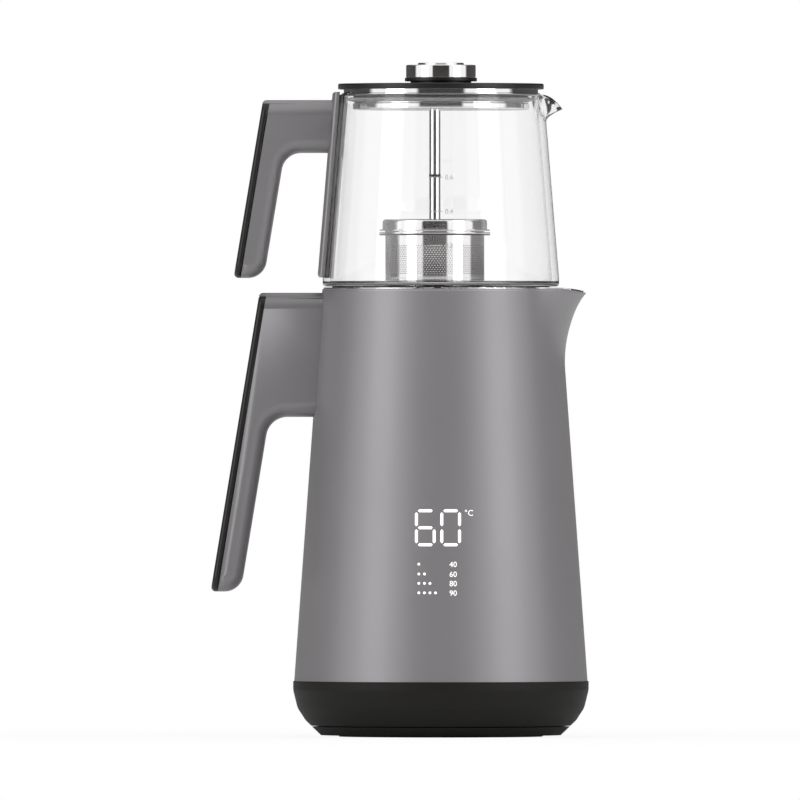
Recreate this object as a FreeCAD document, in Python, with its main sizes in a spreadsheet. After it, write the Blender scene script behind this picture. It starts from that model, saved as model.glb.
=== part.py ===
"""Two-tier tea maker: a glass teapot with an infuser on a kettle with its own power base.

The origin is on the kettle's axis, on the surface that the base stands on.
+Z is up, the display faces -Y, both handles point to -X and both spouts to +X.
"""
import FreeCAD, Part
import math
import os

import Sketcher

doc = FreeCAD.newDocument("tea_maker")
sheet = doc.addObject("Spreadsheet::Sheet", "Sizes")

DIMENSIONS = {
    # Kettle shell, a straight cone with a raised spout.
    "shell_low_radius": 82.15, "shell_low_z": 31.1, "shell_top_radius": 66.36, "shell_top_z": 250.6,
    "shell_wall": 2.0, "spout_start_z": 205.0, "spout_reach": 13.3, "spout_half_angle": 39.0,
    "spout_dip": 2.9, "spout_dip_start": 62.0,
    # Tank inside the shell.
    "tank_floor_z": 52.0, "tank_low_radius": 66.0, "tank_top_radius": 62.4, "tank_wall": 1.0,
    # Skirt and underside of the kettle.
    "skirt_radius": 82.74, "skirt_bend_z": 29.4, "skirt_bend_radius": 33.6, "skirt_foot_radius": 72.7,
    "skirt_foot_z": 6.1, "skirt_wall": 2.4, "deck_z": 9.6, "deck_radius": 60.5, "cover_wall": 1.8,
    # Power base.
    "base_radius": 72.2, "base_top_z": 5.6, "base_foot_radius": 67.2, "base_foot_z": 0.8,
    "base_wall": 1.8, "foot_inner": 50.0, "foot_outer": 57.0, "foot_top_z": 1.6,
    "tower_radius": 16.5, "tower_top_z": 21.5, "tower_hole": 19.0,
    # Heater.
    "heater_radius": 60.0, "heater_thickness": 4.0, "element_radius": 45.0, "element_tube": 4.0,
    # Lower handle: the outer line leans in towards the top.
    "low_top_x": -101.57, "low_top_z": 248.4, "low_end_z": 81.2, "low_under_z": 178.9,
    "low_lean": 0.1636, "low_depth": 16.9, "low_width": 26.0, "strip_depth": 4.05, "handle_lip": 1.9,
    "button_length": 7.6, "button_gap": 0.35, "button_width": 16.0,
    # Roundings that both handles share.
    "top_round": 9.0, "low_rim_round": 8.5, "up_rim_round": 7.6, "end_round": 10.5,
    "strip_round": 2.4,
    # Upper handle.
    "up_top_x": -99.6, "up_top_z": 356.3, "up_end_z": 256.7, "up_under_z": 326.7,
    "up_lean": 0.1655, "up_depth": 17.0, "up_width": 23.0,
    # Glass jug.
    "glass_low_radius": 66.3, "glass_low_z": 254.6, "glass_top_radius": 57.75, "glass_top_z": 359.3,
    "glass_wall": 3.8, "glass_under_z": 252.0, "glass_floor_z": 254.2, "boss_radius": 55.8,
    "boss_z": 249.4, "lip_reach": 9.9, "lip_start_z": 343.5, "lip_half_angle": 15.0, "lip_tip_z": 352.0,
    # Strap that carries the upper handle.
    "pad_thickness": 0.5, "strap_thickness": 2.5, "strap_low_z": 257.0, "strap_top_z": 360.8,
    "strap_width": 27.0, "strap_round": 1.6,
    # Lid and knob.
    "plate_radius": 57.6, "plate_low_z": 362.3, "plate_top_z": 365.5, "step_radius": 54.4,
    "insert_radius": 49.3, "insert_low_z": 350.8, "seal_low_z": 355.6, "seal_top_z": 357.6,
    "knob_radius": 19.5, "knob_low_z": 368.8, "knob_top_z": 376.0, "knob_disc_radius": 13.0,
    # Infuser, whose axis stands a little off the lid's.
    "infuser_x": -3.4, "rod_radius": 3.1, "rod_joint_z": 314.0, "cap_radius": 29.3, "cap_low_z": 283.8,
    "cap_top_z": 289.5, "basket_radius": 27.7, "basket_low_z": 254.9, "basket_top_z": 282.2,
    "basket_wall": 0.6,
    # Screws.
    "screw_shank": 1.8, "screw_head": 3.4,
}


def fill_sheet():
    """Write every driving size into the sheet under its own alias."""
    for row, (alias, value) in enumerate(DIMENSIONS.items(), start=1):
        sheet.set(f"A{row}", alias)
        sheet.set(f"B{row}", str(value))
        sheet.setAlias(f"B{row}", alias)
    doc.recompute()


def expand(expression):
    """Put the sheet's name before each alias of an expression."""
    text = str(expression)
    parts = []
    word = ""
    for mark in text + " ":
        if mark.isalnum() or mark == "_":
            word += mark
            continue
        parts.append("Sizes." + word if word in DIMENSIONS else word)
        parts.append(mark)
        word = ""
    return "".join(parts).strip()


def size(expression):
    """Return the number that an expression of aliases stands for."""
    return float(sheet.evalExpression(expand(expression)))


def origin_plane(body, role):
    """Find one of a body's own origin planes."""
    return next(item for item in body.Origin.OriginFeatures if item.Role == role)


def outline(body, name, role, points):
    """Draw a closed outline of straight edges whose corners follow the sheet."""
    sketch = body.newObject("Sketcher::SketchObject", name)
    sketch.AttachmentSupport = [(origin_plane(body, role), "")]
    sketch.MapMode = "FlatFace"
    corners = [FreeCAD.Vector(size(x), size(y), 0) for x, y in points]
    for index, corner in enumerate(corners):
        sketch.addGeometry(Part.LineSegment(corner, corners[(index + 1) % len(corners)]))
    for index in range(len(corners)):
        sketch.addConstraint(Sketcher.Constraint("Coincident", index, 2, (index + 1) % len(corners), 1))
    for index, point in enumerate(points):
        for kind, expression in zip(("DistanceX", "DistanceY"), point):
            rule = Sketcher.Constraint(kind, -1, 1, index, 1, size(expression))
            number = sketch.addConstraint(rule)
            sketch.setExpression(f"Constraints[{number}]", expand(expression))
    return sketch


def new_body(label):
    """Start a sub-part as a body with its own label."""
    body = doc.addObject("PartDesign::Body", label)
    body.Label = label
    return body


def turned(label, points, axis_x=None):
    """Turn an outline of (radius, height) corners about the vertical axis."""
    body = new_body(label)
    sketch = outline(body, label + "_outline", "XZ_Plane", points)
    turn = body.newObject("PartDesign::Revolution", label + "_turn")
    turn.Profile = sketch
    turn.ReferenceAxis = (sketch, ["V_Axis"])
    turn.Angle = 360
    if axis_x:
        body.setExpression("Placement.Base.x", expand(axis_x))
    doc.recompute()
    return body


def upright(label, points, width):
    """Extrude an outline of (x, z) corners to both sides of the XZ plane."""
    body = new_body(label)
    sketch = outline(body, label + "_outline", "XZ_Plane", points)
    pad = body.newObject("PartDesign::Pad", label + "_pad")
    pad.Profile = sketch
    pad.Midplane = True
    pad.setExpression("Length", expand(width))
    doc.recompute()
    return body


def round_edges(body, radius, chosen):
    """Round the edges of a body that a test picks, by their place."""
    names = []
    for index, edge in enumerate(body.Shape.Edges, start=1):
        if chosen(edge):
            names.append(f"Edge{index}")
    before = body.Tip
    fillet = body.newObject("PartDesign::Fillet", body.Label + "_round")
    fillet.Base = (before, names)
    fillet.setExpression("Radius", expand(radius))
    body.Tip = fillet
    doc.recompute()
    return body


def along_y_at(x, z, reach=0.6):
    """Pick the edges that run along Y through the point (x, z)."""
    def test(edge):
        ends = [vertex.Point for vertex in edge.Vertexes]
        if len(ends) != 2 or abs(ends[0].y - ends[1].y) < 1:
            return False
        middle = (ends[0] + ends[1]) * 0.5
        return math.hypot(middle.x - x, middle.z - z) < reach
    return test


def primitive(kind, label, sizes, place=(0, 0, 0)):
    """Make a primitive whose sizes and place follow the sheet."""
    item = doc.addObject("Part::" + kind, label)
    item.Label = label
    for name, expression in sizes.items():
        item.setExpression(name, expand(expression))
    for name, expression in zip("xyz", place):
        item.setExpression("Placement.Base." + name, expand(expression))
    return item


def joined(label, items):
    """Fuse several objects into one sub-part."""
    item = doc.addObject("Part::MultiFuse", label)
    item.Label = label
    item.Shapes = items
    doc.recompute()
    return item


def grouped(label, items):
    """Keep several equal solids in one sub-part."""
    item = doc.addObject("Part::Compound", label)
    item.Label = label
    item.Links = items
    doc.recompute()
    return item


def cut(label, base, tools):
    """Cut tools from a base and give the rest a label."""
    for number, tool in enumerate(tools, start=1):
        item = doc.addObject("Part::Cut", f"{label}_cut_{number}")
        item.Base = base
        item.Tool = tool
        doc.recompute()
        base = item
    base.Label = label
    return base


def shaped(label, shape):
    """Hold a shape made with Part's own functions."""
    item = doc.addObject("Part::Feature", label)
    item.Label = label
    item.Shape = shape
    return item


def leaned(item, pivot, degrees):
    """Turn an object about a pivot on the XZ plane, so that it follows a leaning wall."""
    about_y = FreeCAD.Rotation(FreeCAD.Vector(0, 1, 0), degrees)
    turn = FreeCAD.Placement(FreeCAD.Vector(), about_y, pivot)
    item.Placement = turn.multiply(item.Placement)
    return item


# Kettle walls with a spout.

SECTION_POINTS = 40


def shell_radius(z):
    """Radius of the kettle's outer cone at a height."""
    fall = size("(shell_low_radius - shell_top_radius) / (shell_top_z - shell_low_z)")
    return size("shell_low_radius") - fall * (z - size("shell_low_z"))


def wall_lean():
    """Angle in degrees between the kettle's outer cone and the vertical."""
    narrowing = size("shell_low_radius - shell_top_radius")
    return math.degrees(math.atan2(narrowing, size("shell_top_z - shell_low_z")))


def tank_radius(z):
    """Outer radius of the tank at a height."""
    fall = size("(tank_low_radius - tank_top_radius) / (shell_top_z - tank_floor_z)")
    return size("tank_low_radius") - fall * (z - size("tank_floor_z"))


def bumped_section(radius, reach, half_angle, z):
    """Draw a round closed curve with a soft raised part towards +X."""
    points = []
    for index in range(SECTION_POINTS):
        angle = math.pi + 2 * math.pi * index / SECTION_POINTS
        off = math.remainder(angle, 2 * math.pi)
        rise = 0.0
        if abs(off) < half_angle:
            rise = reach * math.cos(math.pi * off / (2 * half_angle)) ** 2
        span = radius + rise
        points.append(FreeCAD.Vector(span * math.cos(angle), span * math.sin(angle), z))
    curve = Part.BSplineCurve()
    curve.interpolate(Points=points, PeriodicFlag=True)
    return Part.Wire([curve.toShape()])


def walled(radius_at, outset, inset, low_z, high_z):
    """Make the kettle's wall between two insets: a plain cone, then the part with the spout."""
    start = size("spout_start_z")
    rise = size("shell_top_z") - 2.8 - start
    half_angle = math.radians(size("spout_half_angle"))

    def section(z, depth):
        reach = size("spout_reach") * (max(0.0, z - start) / rise) ** 2
        return bumped_section(radius_at(z) - depth, reach, half_angle, z)

    heights = [start + (high_z - start) * step / 5 for step in range(6)]
    upper = Part.makeLoft([section(z, outset) for z in heights], True, False)
    upper = upper.cut(Part.makeLoft([section(z, inset) for z in heights], True, False))
    if low_z >= start:
        return upper
    lower = Part.makeLoft([section(low_z, outset), section(start, outset)], True, True)
    lower = lower.cut(Part.makeLoft([section(low_z, inset), section(start, inset)], True, True))
    return lower.fuse(upper)


def above_rim(lift):
    """Make the space above the kettle's rim, which dips towards the spout's tip."""
    top = size("shell_top_z") + lift
    dip = size("spout_dip")
    start = size("spout_dip_start")
    end = 84.0
    middle = FreeCAD.Vector(start + (end - start) * 0.55, 0, top - dip * 0.3)
    edges = [
        Part.LineSegment(FreeCAD.Vector(-120, 0, top), FreeCAD.Vector(start, 0, top)).toShape(),
        Part.Arc(FreeCAD.Vector(start, 0, top), middle, FreeCAD.Vector(end, 0, top - dip)).toShape(),
        Part.LineSegment(FreeCAD.Vector(end, 0, top - dip), FreeCAD.Vector(end, 0, 300)).toShape(),
        Part.LineSegment(FreeCAD.Vector(end, 0, 300), FreeCAD.Vector(-120, 0, 300)).toShape(),
        Part.LineSegment(FreeCAD.Vector(-120, 0, 300), FreeCAD.Vector(-120, 0, top)).toShape(),
    ]
    face = Part.Face(Part.Wire(edges))
    face.translate(FreeCAD.Vector(0, -120, 0))
    return face.extrude(FreeCAD.Vector(0, 240, 0))


def make_kettle_walls():
    """Make the outer shell, the tank inside it and the ring that closes both at the mouth."""
    high = size("shell_top_z") + 2.4
    floor = size("tank_floor_z")
    tank_wall = size("tank_wall")
    rim_void = above_rim(0)
    shell = walled(shell_radius, 0, size("shell_wall"), size("shell_low_z"), high).cut(rim_void)
    tank = walled(tank_radius, 0, tank_wall, floor + tank_wall, high).cut(rim_void)
    bottom = Part.makeCylinder(size("tank_low_radius") - 0.1, tank_wall, FreeCAD.Vector(0, 0, floor))
    probe_hole = Part.makeCylinder(4, 30, FreeCAD.Vector(20, 0, floor - 15))
    tank = tank.fuse(bottom.cut(probe_hole))
    slab = above_rim(0).cut(above_rim(0.8))
    start = size("spout_start_z")
    flange = walled(shell_radius, 0.7, 4.9, start, high).common(slab)
    ledge_outer = size("tank_top_radius") + 0.4
    ledge_inner = size("boss_radius") + 0.9
    top = size("shell_top_z")
    ledge = Part.makeCylinder(ledge_outer, 0.8, FreeCAD.Vector(0, 0, top))
    ledge = ledge.cut(Part.makeCylinder(ledge_inner, 0.8, FreeCAD.Vector(0, 0, top)))
    shaped("mouth_ring", flange.fuse(ledge))
    shaped("inner_tank", tank)
    return shell


def make_power_base():
    """Make the base that stands on the worktop and carries the connector."""
    notch = primitive("Box", "cord_notch", {"Length": 6.5, "Width": 12, "Height": 5.2},
                      (-3.25, "base_foot_radius - 5.5", -0.5))
    shell = turned("base_shell_blank", [
        ("base_foot_radius", "base_foot_z"), ("base_radius", "base_top_z"),
        ("deck_radius + 2.5", "base_top_z"), ("deck_radius", "deck_z"), ("tower_hole", "deck_z"),
        ("tower_hole", "deck_z - base_wall"),
        ("deck_radius - 1.2", "deck_z - base_wall"), ("deck_radius + 1.2", "base_top_z - base_wall"),
        ("base_radius - 4.4", "base_top_z - base_wall"), ("base_foot_radius - 1.8", "base_foot_z + 0.9"),
        ("base_foot_radius - 1.8", "base_foot_z")])
    cover = turned("base_cover_blank", [
        ("0", "base_foot_z"), ("foot_inner - 0.1", "base_foot_z"), ("foot_inner - 0.1", "foot_top_z"),
        ("foot_outer + 0.1", "foot_top_z"), ("foot_outer + 0.1", "base_foot_z"),
        ("base_foot_radius - 2.0", "base_foot_z"), ("base_foot_radius - 2.0", "base_foot_z + 2"),
        ("0", "base_foot_z + 2")])
    turned("foot_ring", [("foot_inner", 0), ("foot_outer", 0), ("foot_outer", "foot_top_z"),
                         ("foot_inner", "foot_top_z")])
    screws = []
    bosses = []
    for number in range(4):
        angle = math.radians(45 + 90 * number)
        place = (str(44 * math.cos(angle)), str(44 * math.sin(angle)))
        screws.append(screw(f"base_screw_{number + 1}", place, "base_foot_z", "deck_z - base_wall - 1.6"))
        bosses.append(primitive("Cylinder", f"base_boss_{number + 1}", {
            "Radius": "screw_head", "Height": "deck_z - base_wall - base_foot_z - 2"},
            (place[0], place[1], "base_foot_z + 2")))
    group = grouped("base_screws", screws)
    cut("base_bottom_cover", cover, [notch, group])
    cut("base_shell", joined("base_shell_bossed", [shell] + bosses), [notch, group])
    turned("connector_tower", [
        (0, "base_foot_z + 2.3"), ("tower_hole + 3", "base_foot_z + 2.3"),
        ("tower_hole + 3", "deck_z - base_wall - 0.4"), ("tower_hole - 0.4", "deck_z - base_wall - 0.4"),
        ("tower_hole - 0.4", "deck_z + 0.4"), ("tower_radius", "deck_z + 0.4"),
        ("tower_radius", "tower_top_z - 1"), ("tower_radius - 1", "tower_top_z"), (9, "tower_top_z"),
        (9, "tower_top_z - 1.5"), (7.6, "tower_top_z - 1.5"), (7.6, "tower_top_z"), (3, "tower_top_z"),
        (3, "deck_z"), (0, "deck_z")])
    pin = primitive("Cylinder", "contact_pin", {"Radius": "2", "Height": "tower_top_z - deck_z - 1"},
                    (0, 0, "deck_z"))
    ring = turned("contact_ring", [(7.6, "tower_top_z - 1.5"), (9, "tower_top_z - 1.5"),
                                   (9, "tower_top_z + 0.4"), (7.6, "tower_top_z + 0.4")])
    grouped("tower_contacts", [pin, ring])


def screw(label, place, head_z, tip_z):
    """Make one upright screw with a flat head at its lower end."""
    head = primitive("Cylinder", label + "_head", {"Radius": "screw_head - 0.6", "Height": "1.2"},
                     (place[0], place[1], head_z))
    shank = primitive("Cylinder", label + "_shank", {
        "Radius": "screw_shank - 0.4", "Height": f"{tip_z} - ({head_z})"}, (place[0], place[1], head_z))
    return joined(label, [head, shank])


def make_kettle_underside():
    """Make the black skirt, the cover under the kettle, the heater and the socket."""
    bend = size("skirt_bend_radius")
    outer = [("skirt_foot_radius", "skirt_foot_z")]
    inner = []
    for step in range(8, -1, -1):
        angle = math.radians(45.0 * step / 8)
        drop = f"skirt_bend_z - {bend * math.sin(angle) * 0.85:.4f}"
        swing = f"skirt_radius - {bend * (1 - math.cos(angle)) * 0.7:.4f}"
        outer.append((swing, drop))
        inner.append((swing + " - skirt_wall", drop + " + skirt_wall * 0.4"))
    outer.append(("skirt_radius", "shell_low_z"))
    inner.append(("skirt_radius - skirt_wall", "shell_low_z"))
    foot_in = [("skirt_foot_radius - 1.6", "skirt_foot_z + 2.4"), ("skirt_foot_radius - 1.6", "skirt_foot_z")]
    turned("base_skirt", outer + inner[::-1] + foot_in)
    turned("underside_cover", [
        ("tower_hole + 1", "deck_z"), ("deck_radius + 0.6", "deck_z"), ("deck_radius + 2.8", "skirt_foot_z"),
        ("skirt_foot_radius - 1.8", "skirt_foot_z"), ("skirt_foot_radius - 1.8", "skirt_foot_z + cover_wall"),
        ("deck_radius + 4.2", "skirt_foot_z + cover_wall"), ("deck_radius + 2", "deck_z + cover_wall"),
        ("tower_hole + 1", "deck_z + cover_wall")])
    turned("coupler_socket", [
        ("tower_radius + 0.5", "deck_z + 0.8"), ("tower_hole + 0.8", "deck_z + 0.8"),
        ("tower_hole + 0.8", "deck_z + 4"), ("tower_hole + 6", "deck_z + 4"),
        ("tower_hole + 6", "deck_z + 6"),
        ("tower_hole + 0.8", "deck_z + 6"), ("tower_hole + 0.8", "tower_top_z + 3.2"),
        (0, "tower_top_z + 3.2"), (0, "tower_top_z + 1.2"), ("tower_radius + 0.5", "tower_top_z + 1.2")])
    sensor_hole = primitive("Cylinder", "sensor_hole", {"Radius": 4, "Height": 30}, (20, 0, 35))
    plate = primitive("Cylinder", "heater_plate_blank", {
        "Radius": "heater_radius", "Height": "heater_thickness"}, (0, 0, "tank_floor_z - heater_thickness"))
    cut("heater_plate", plate, [sensor_hole])
    turned("temperature_probe", [(0, "tank_floor_z - 10"), (4, "tank_floor_z - 10"),
                                 (4, "tank_floor_z + 1.6"), (2.6, "tank_floor_z + 7"),
                                 (0, "tank_floor_z + 7")], "20")
    ring = doc.addObject("Part::Torus", "element_ring")
    ring.setExpression("Radius1", expand("element_radius"))
    ring.setExpression("Radius2", expand("element_tube"))
    ring.setExpression("Placement.Base.z", expand("tank_floor_z - heater_thickness - element_tube"))
    opening = primitive("Box", "element_gap", {"Length": 60, "Width": 24, "Height": 12},
                        (20, -12, "tank_floor_z - heater_thickness - element_tube - 6"))
    loop = cut("element_loop", ring, [opening])
    ends = []
    end_low = "tank_floor_z - heater_thickness - element_tube - 15"
    for side in (-1, 1):
        ends.append(primitive("Cylinder", f"element_end_{side + 2}", {
            "Radius": "element_tube - 1.2", "Height": "16"},
            ("element_radius - 1.6", str(side * 13.5), end_low)))
    joined("heating_element", [loop] + ends)


def make_electronics():
    """Make the display module and the board behind the front wall."""
    lean = wall_lean()
    middle_z = 103
    for label, width, depth, height, front in (("display_module", 36, 3.0, 52, 72.3),
                                               ("control_board", 40, 1.6, 48, 69.1)):
        item = doc.addObject("Part::Box", label)
        item.Label = label
        item.Length = width
        item.Width = depth
        item.Height = height
        item.Placement.Base = FreeCAD.Vector(-width / 2, -front, middle_z - height / 2)
        pivot = FreeCAD.Vector(0, -front, middle_z)
        about_x = FreeCAD.Rotation(FreeCAD.Vector(1, 0, 0), -lean)
        turn = FreeCAD.Placement(FreeCAD.Vector(), about_x, pivot)
        item.Placement = turn.multiply(item.Placement)
    doc.recompute()


def low_line(z, inward=0):
    """Expression for x on the lower handle's outer line, or a distance inside it."""
    return f"low_top_x + ({z} - low_top_z) * low_lean + {inward}"


def up_line(z, inward=0):
    """Expression for x on the upper handle's outer line, or a distance inside it."""
    return f"up_top_x + ({z} - up_top_z) * up_lean + {inward}"


def side_edges_at(half, height):
    """Pick the straight edges that run along X at one height of both side faces."""
    def test(edge):
        ends = [vertex.Point for vertex in edge.Vertexes]
        if len(ends) != 2 or ends[0].y * ends[1].y < 0:
            return False
        return all(abs(abs(point.y) - half) < 0.01 and abs(point.z - height) < 0.01 for point in ends)
    return test


def make_lower_handle(shell):
    """Make the kettle's handle, its cover strip, the button and what fixes the handle."""
    half = size("low_width / 2")
    top = size("low_top_z")
    blank = upright("lower_handle_blank", [
        (low_line("low_top_z", "strip_depth"), "low_top_z"), ("-60", "low_top_z"), ("-60", "low_under_z"),
        (low_line("low_under_z", "low_depth"), "low_under_z"),
        (low_line("low_end_z", "low_depth"), "low_end_z"),
        (low_line("low_end_z", "strip_depth"), "low_end_z")], "low_width")
    inner_x = size(low_line("low_under_z", "low_depth"))
    round_edges(blank, "12", along_y_at(inner_x, size("low_under_z")))
    round_edges(blank, "end_round", along_y_at(size(low_line("low_end_z", "low_depth")), size("low_end_z")))
    round_edges(blank, "low_rim_round", rim_edges(half, top, low_face, -60))
    round_edges(blank, "top_round", side_edges_at(half, top))
    strip = upright("lower_strip_form", [
        (low_line("low_top_z"), "low_top_z"), (low_line("low_top_z", "strip_depth"), "low_top_z"),
        (low_line("low_end_z", "strip_depth"), "low_end_z"), (low_line("low_end_z"), "low_end_z")],
        "low_width")
    round_edges(strip, "top_round", side_edges_at(half, top))
    round_edges(strip, "low_rim_round", side_edges_at(half, size("low_end_z")))
    round_edges(strip, "strip_round", lambda edge: outer_long_edge(edge, half, low_face))
    lip, cover = split_lip("lower", strip, "low_top_z")
    handle = joined("lower_handle_lipped", [blank, lip])
    split = "low_top_z - button_length"
    window = upright("button_window", [
        (low_line("low_top_z + 3", "-2"), "low_top_z + 3"), (low_line("low_top_z + 3", "8"), "low_top_z + 3"),
        (low_line(split, "8"), split + " - 1.3"), (low_line(split, "-2"), split + " + 0.32")], "button_width")
    cut("lower_handle_strip", cover, [window])
    raised = split + " + button_gap"
    button_top = "low_top_z - handle_lip - button_gap"
    button = upright("power_button_blank", [
        (low_line(button_top), button_top), (low_line(button_top, "strip_depth - 1.4"), button_top),
        (low_line(raised, "strip_depth - 1.4"), raised + " - 0.43"), (low_line(raised), raised)],
        "button_width - 2 * button_gap")
    button_half = size("button_width / 2 - button_gap")
    round_edges(button, "0.8", along_y_at(size(low_line(button_top)), size(button_top)))
    round_edges(button, "0.5", lambda edge: outer_long_edge(edge, button_half, low_face))
    lean = math.degrees(math.atan(size("low_lean")))
    middle = "low_top_z - (button_length + handle_lip) / 2"
    pivot = FreeCAD.Vector(size(low_line(middle)), 0, size(middle))
    depth = size("strip_depth")

    def inward_rod(label, radius, start, length):
        item = doc.addObject("Part::Cylinder", label)
        item.Label = label
        item.Radius = radius
        item.Height = length
        turn = FreeCAD.Rotation(FreeCAD.Vector(0, 1, 0), 90 + lean)
        item.Placement = FreeCAD.Placement(pivot + turn.multVec(FreeCAD.Vector(0, 0, start)), turn)
        return item
    stem = inward_rod("button_stem", 1.5, depth - 1.5, 5.0)
    joined("power_button", [button, stem])
    pocket = inward_rod("button_pocket", 2.8, depth - 2.0, 5.5)
    stem_way = inward_rod("stem_way", 1.8, depth, 8.0)
    housing = inward_rod("switch_pocket", 3.2, depth + 3.4, 7.0)
    inward_rod("button_switch", 3.1, depth + 4.9, 5.0)
    make_button_spring(pivot, lean, depth)
    fix_lower_handle(handle, shell, [pocket, stem_way, housing])


def low_face(point):
    """Distance of a point from the lower handle's outer face, along X."""
    return point.x - (size("low_top_x") + (point.z - size("low_top_z")) * size("low_lean"))


def up_face(point):
    """Distance of a point from the upper handle's outer face, along X."""
    return point.x - (size("up_top_x") + (point.z - size("up_top_z")) * size("up_lean"))


def outer_long_edge(edge, half, face):
    """Tell whether an edge runs down the outer face at one side."""
    points = [vertex.Point for vertex in edge.Vertexes]
    if len(points) != 2 or points[0].y * points[1].y < 0:
        return False
    return all(abs(abs(point.y) - half) < 0.01 and abs(face(point)) < 0.02 for point in points)


def rim_edges(half, top, face, wall_x):
    """Pick the edges of both side faces that neither the strip, the wall nor the top takes."""
    def test(edge):
        ends = [vertex.Point for vertex in edge.Vertexes]
        if len(ends) != 2 or any(abs(abs(point.y) - half) > 0.01 for point in ends):
            return False
        under_strip = all(abs(face(point) - size("strip_depth")) < 0.05 for point in ends)
        at_wall = all(point.x > wall_x - 0.5 for point in ends)
        at_top = all(abs(point.z - top) < 0.01 for point in ends)
        return ends[0].y * ends[1].y > 0 and not (under_strip or at_wall or at_top)
    return test


def split_lip(name, strip, top):
    """Split a strip's form below the handle's top lip: the lip above, the cover strip under it."""
    space = primitive("Box", name + "_lip_space", {"Length": 60, "Width": 60, "Height": 10},
                      ("-120", "-30", top + " - handle_lip"))
    lip = doc.addObject("Part::Common", name + "_handle_lip")
    lip.Base = strip
    lip.Tool = space
    doc.recompute()
    return lip, cut(name + "_strip_cover", strip, [space])


def make_button_spring(pivot, lean, depth):
    """Wind the button's return spring round its stem, as one wire."""
    coils = 3.5
    height = 3.0
    radius = 2.5
    wire = 0.22
    helix = Part.makeHelix(height / coils, height, radius)
    section = Part.Wire([Part.makeCircle(wire, FreeCAD.Vector(radius, 0, 0), FreeCAD.Vector(0, 1, 0))])
    spring = Part.Wire(helix.Edges).makePipeShell([section], True, False)
    item = shaped("button_spring", spring)
    turn = FreeCAD.Rotation(FreeCAD.Vector(0, 1, 0), 90 + lean)
    item.Placement = FreeCAD.Placement(pivot + turn.multVec(FreeCAD.Vector(0, 0, depth - 0.9)), turn)


def fix_lower_handle(blank, shell, pockets):
    """Fasten the lower handle to the shell with a bracket and three screws."""
    slope = wall_lean()
    middle_z = 205.0
    face_x = -(shell_radius(middle_z) - size("shell_wall")) + 0.5
    pivot = FreeCAD.Vector(face_x, 0, middle_z)
    plate = doc.addObject("Part::Box", "bracket_plate")
    plate.Length = 1.5
    plate.Width = 14
    plate.Height = 46
    plate.Placement.Base = FreeCAD.Vector(face_x, -7, middle_z - 23)
    leaned(plate, pivot, slope)
    screws = []
    for number, rise in enumerate((-17, 0, 17), start=1):
        head = doc.addObject("Part::Cylinder", f"handle_screw_head_{number}")
        head.Radius = 3.2
        head.Height = 1.0
        head.Placement = FreeCAD.Placement(FreeCAD.Vector(face_x + 2.5, 0, middle_z + rise),
                                           FreeCAD.Rotation(FreeCAD.Vector(0, 1, 0), -90))
        shank = doc.addObject("Part::Cylinder", f"handle_screw_shank_{number}")
        shank.setExpression("Radius", expand("screw_shank"))
        shank.Height = 18
        shank.Placement = FreeCAD.Placement(FreeCAD.Vector(face_x + 1.5, 0, middle_z + rise),
                                            FreeCAD.Rotation(FreeCAD.Vector(0, 1, 0), -90))
        leaned(head, pivot, slope)
        leaned(shank, pivot, slope)
        screws.append(joined(f"handle_screw_{number}", [head, shank]))
    group = grouped("handle_screws", screws)
    cut("handle_bracket", plate, [group])
    cut("outer_shell", shaped("shell_blank", shell), [group])
    solid_cone = shaped("handle_end_tool", Part.makeCone(
        shell_radius(150) + 0.02, shell_radius(260) + 0.02, 110, FreeCAD.Vector(0, 0, 150)))
    cut("lower_handle", blank, [solid_cone, group] + pockets)


def glass_radius(z):
    """Outer radius of the glass jug at a height."""
    fall = size("(glass_low_radius - glass_top_radius) / (glass_top_z - glass_low_z)")
    return size("glass_low_radius") - fall * (z - size("glass_low_z"))


def make_glass_jug():
    """Make the jug: a thick cone of glass with a stepped base and a drawn pouring lip."""
    body = turned("glass_blank", [
        (0, "boss_z"), ("boss_radius - 1", "boss_z"), ("boss_radius", "boss_z + 1"),
        ("boss_radius", "glass_under_z"), ("glass_low_radius - 2.2", "glass_under_z"),
        ("glass_low_radius - 0.6", "glass_under_z + 0.8"), ("glass_low_radius", "glass_low_z"),
        ("glass_top_radius + 0.1", "glass_top_z - 1.2"), ("glass_top_radius - 0.8", "glass_top_z"),
        ("glass_top_radius - glass_wall + 0.8", "glass_top_z"),
        ("glass_top_radius - glass_wall", "glass_top_z - 1"),
        ("glass_low_radius - glass_wall - 0.6", "glass_floor_z + 4"),
        ("glass_low_radius - glass_wall - 1.8", "glass_floor_z + 1.2"),
        ("glass_low_radius - glass_wall - 4.6", "glass_floor_z"), (0, "glass_floor_z")])
    start = size("lip_start_z")
    top = size("glass_top_z")
    half = math.radians(size("lip_half_angle"))

    def lip(inset, low, high):
        wires = []
        for step in range(7):
            z = low + (high - low) * step / 6
            share = min(1.0, max(0.0, (z - start) / (size("lip_tip_z") - start)))
            reach = size("lip_reach") * share ** 2
            wires.append(bumped_section(glass_radius(z) - inset, reach, half, z))
        return Part.makeLoft(wires, True, False)
    return body, lip


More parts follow.
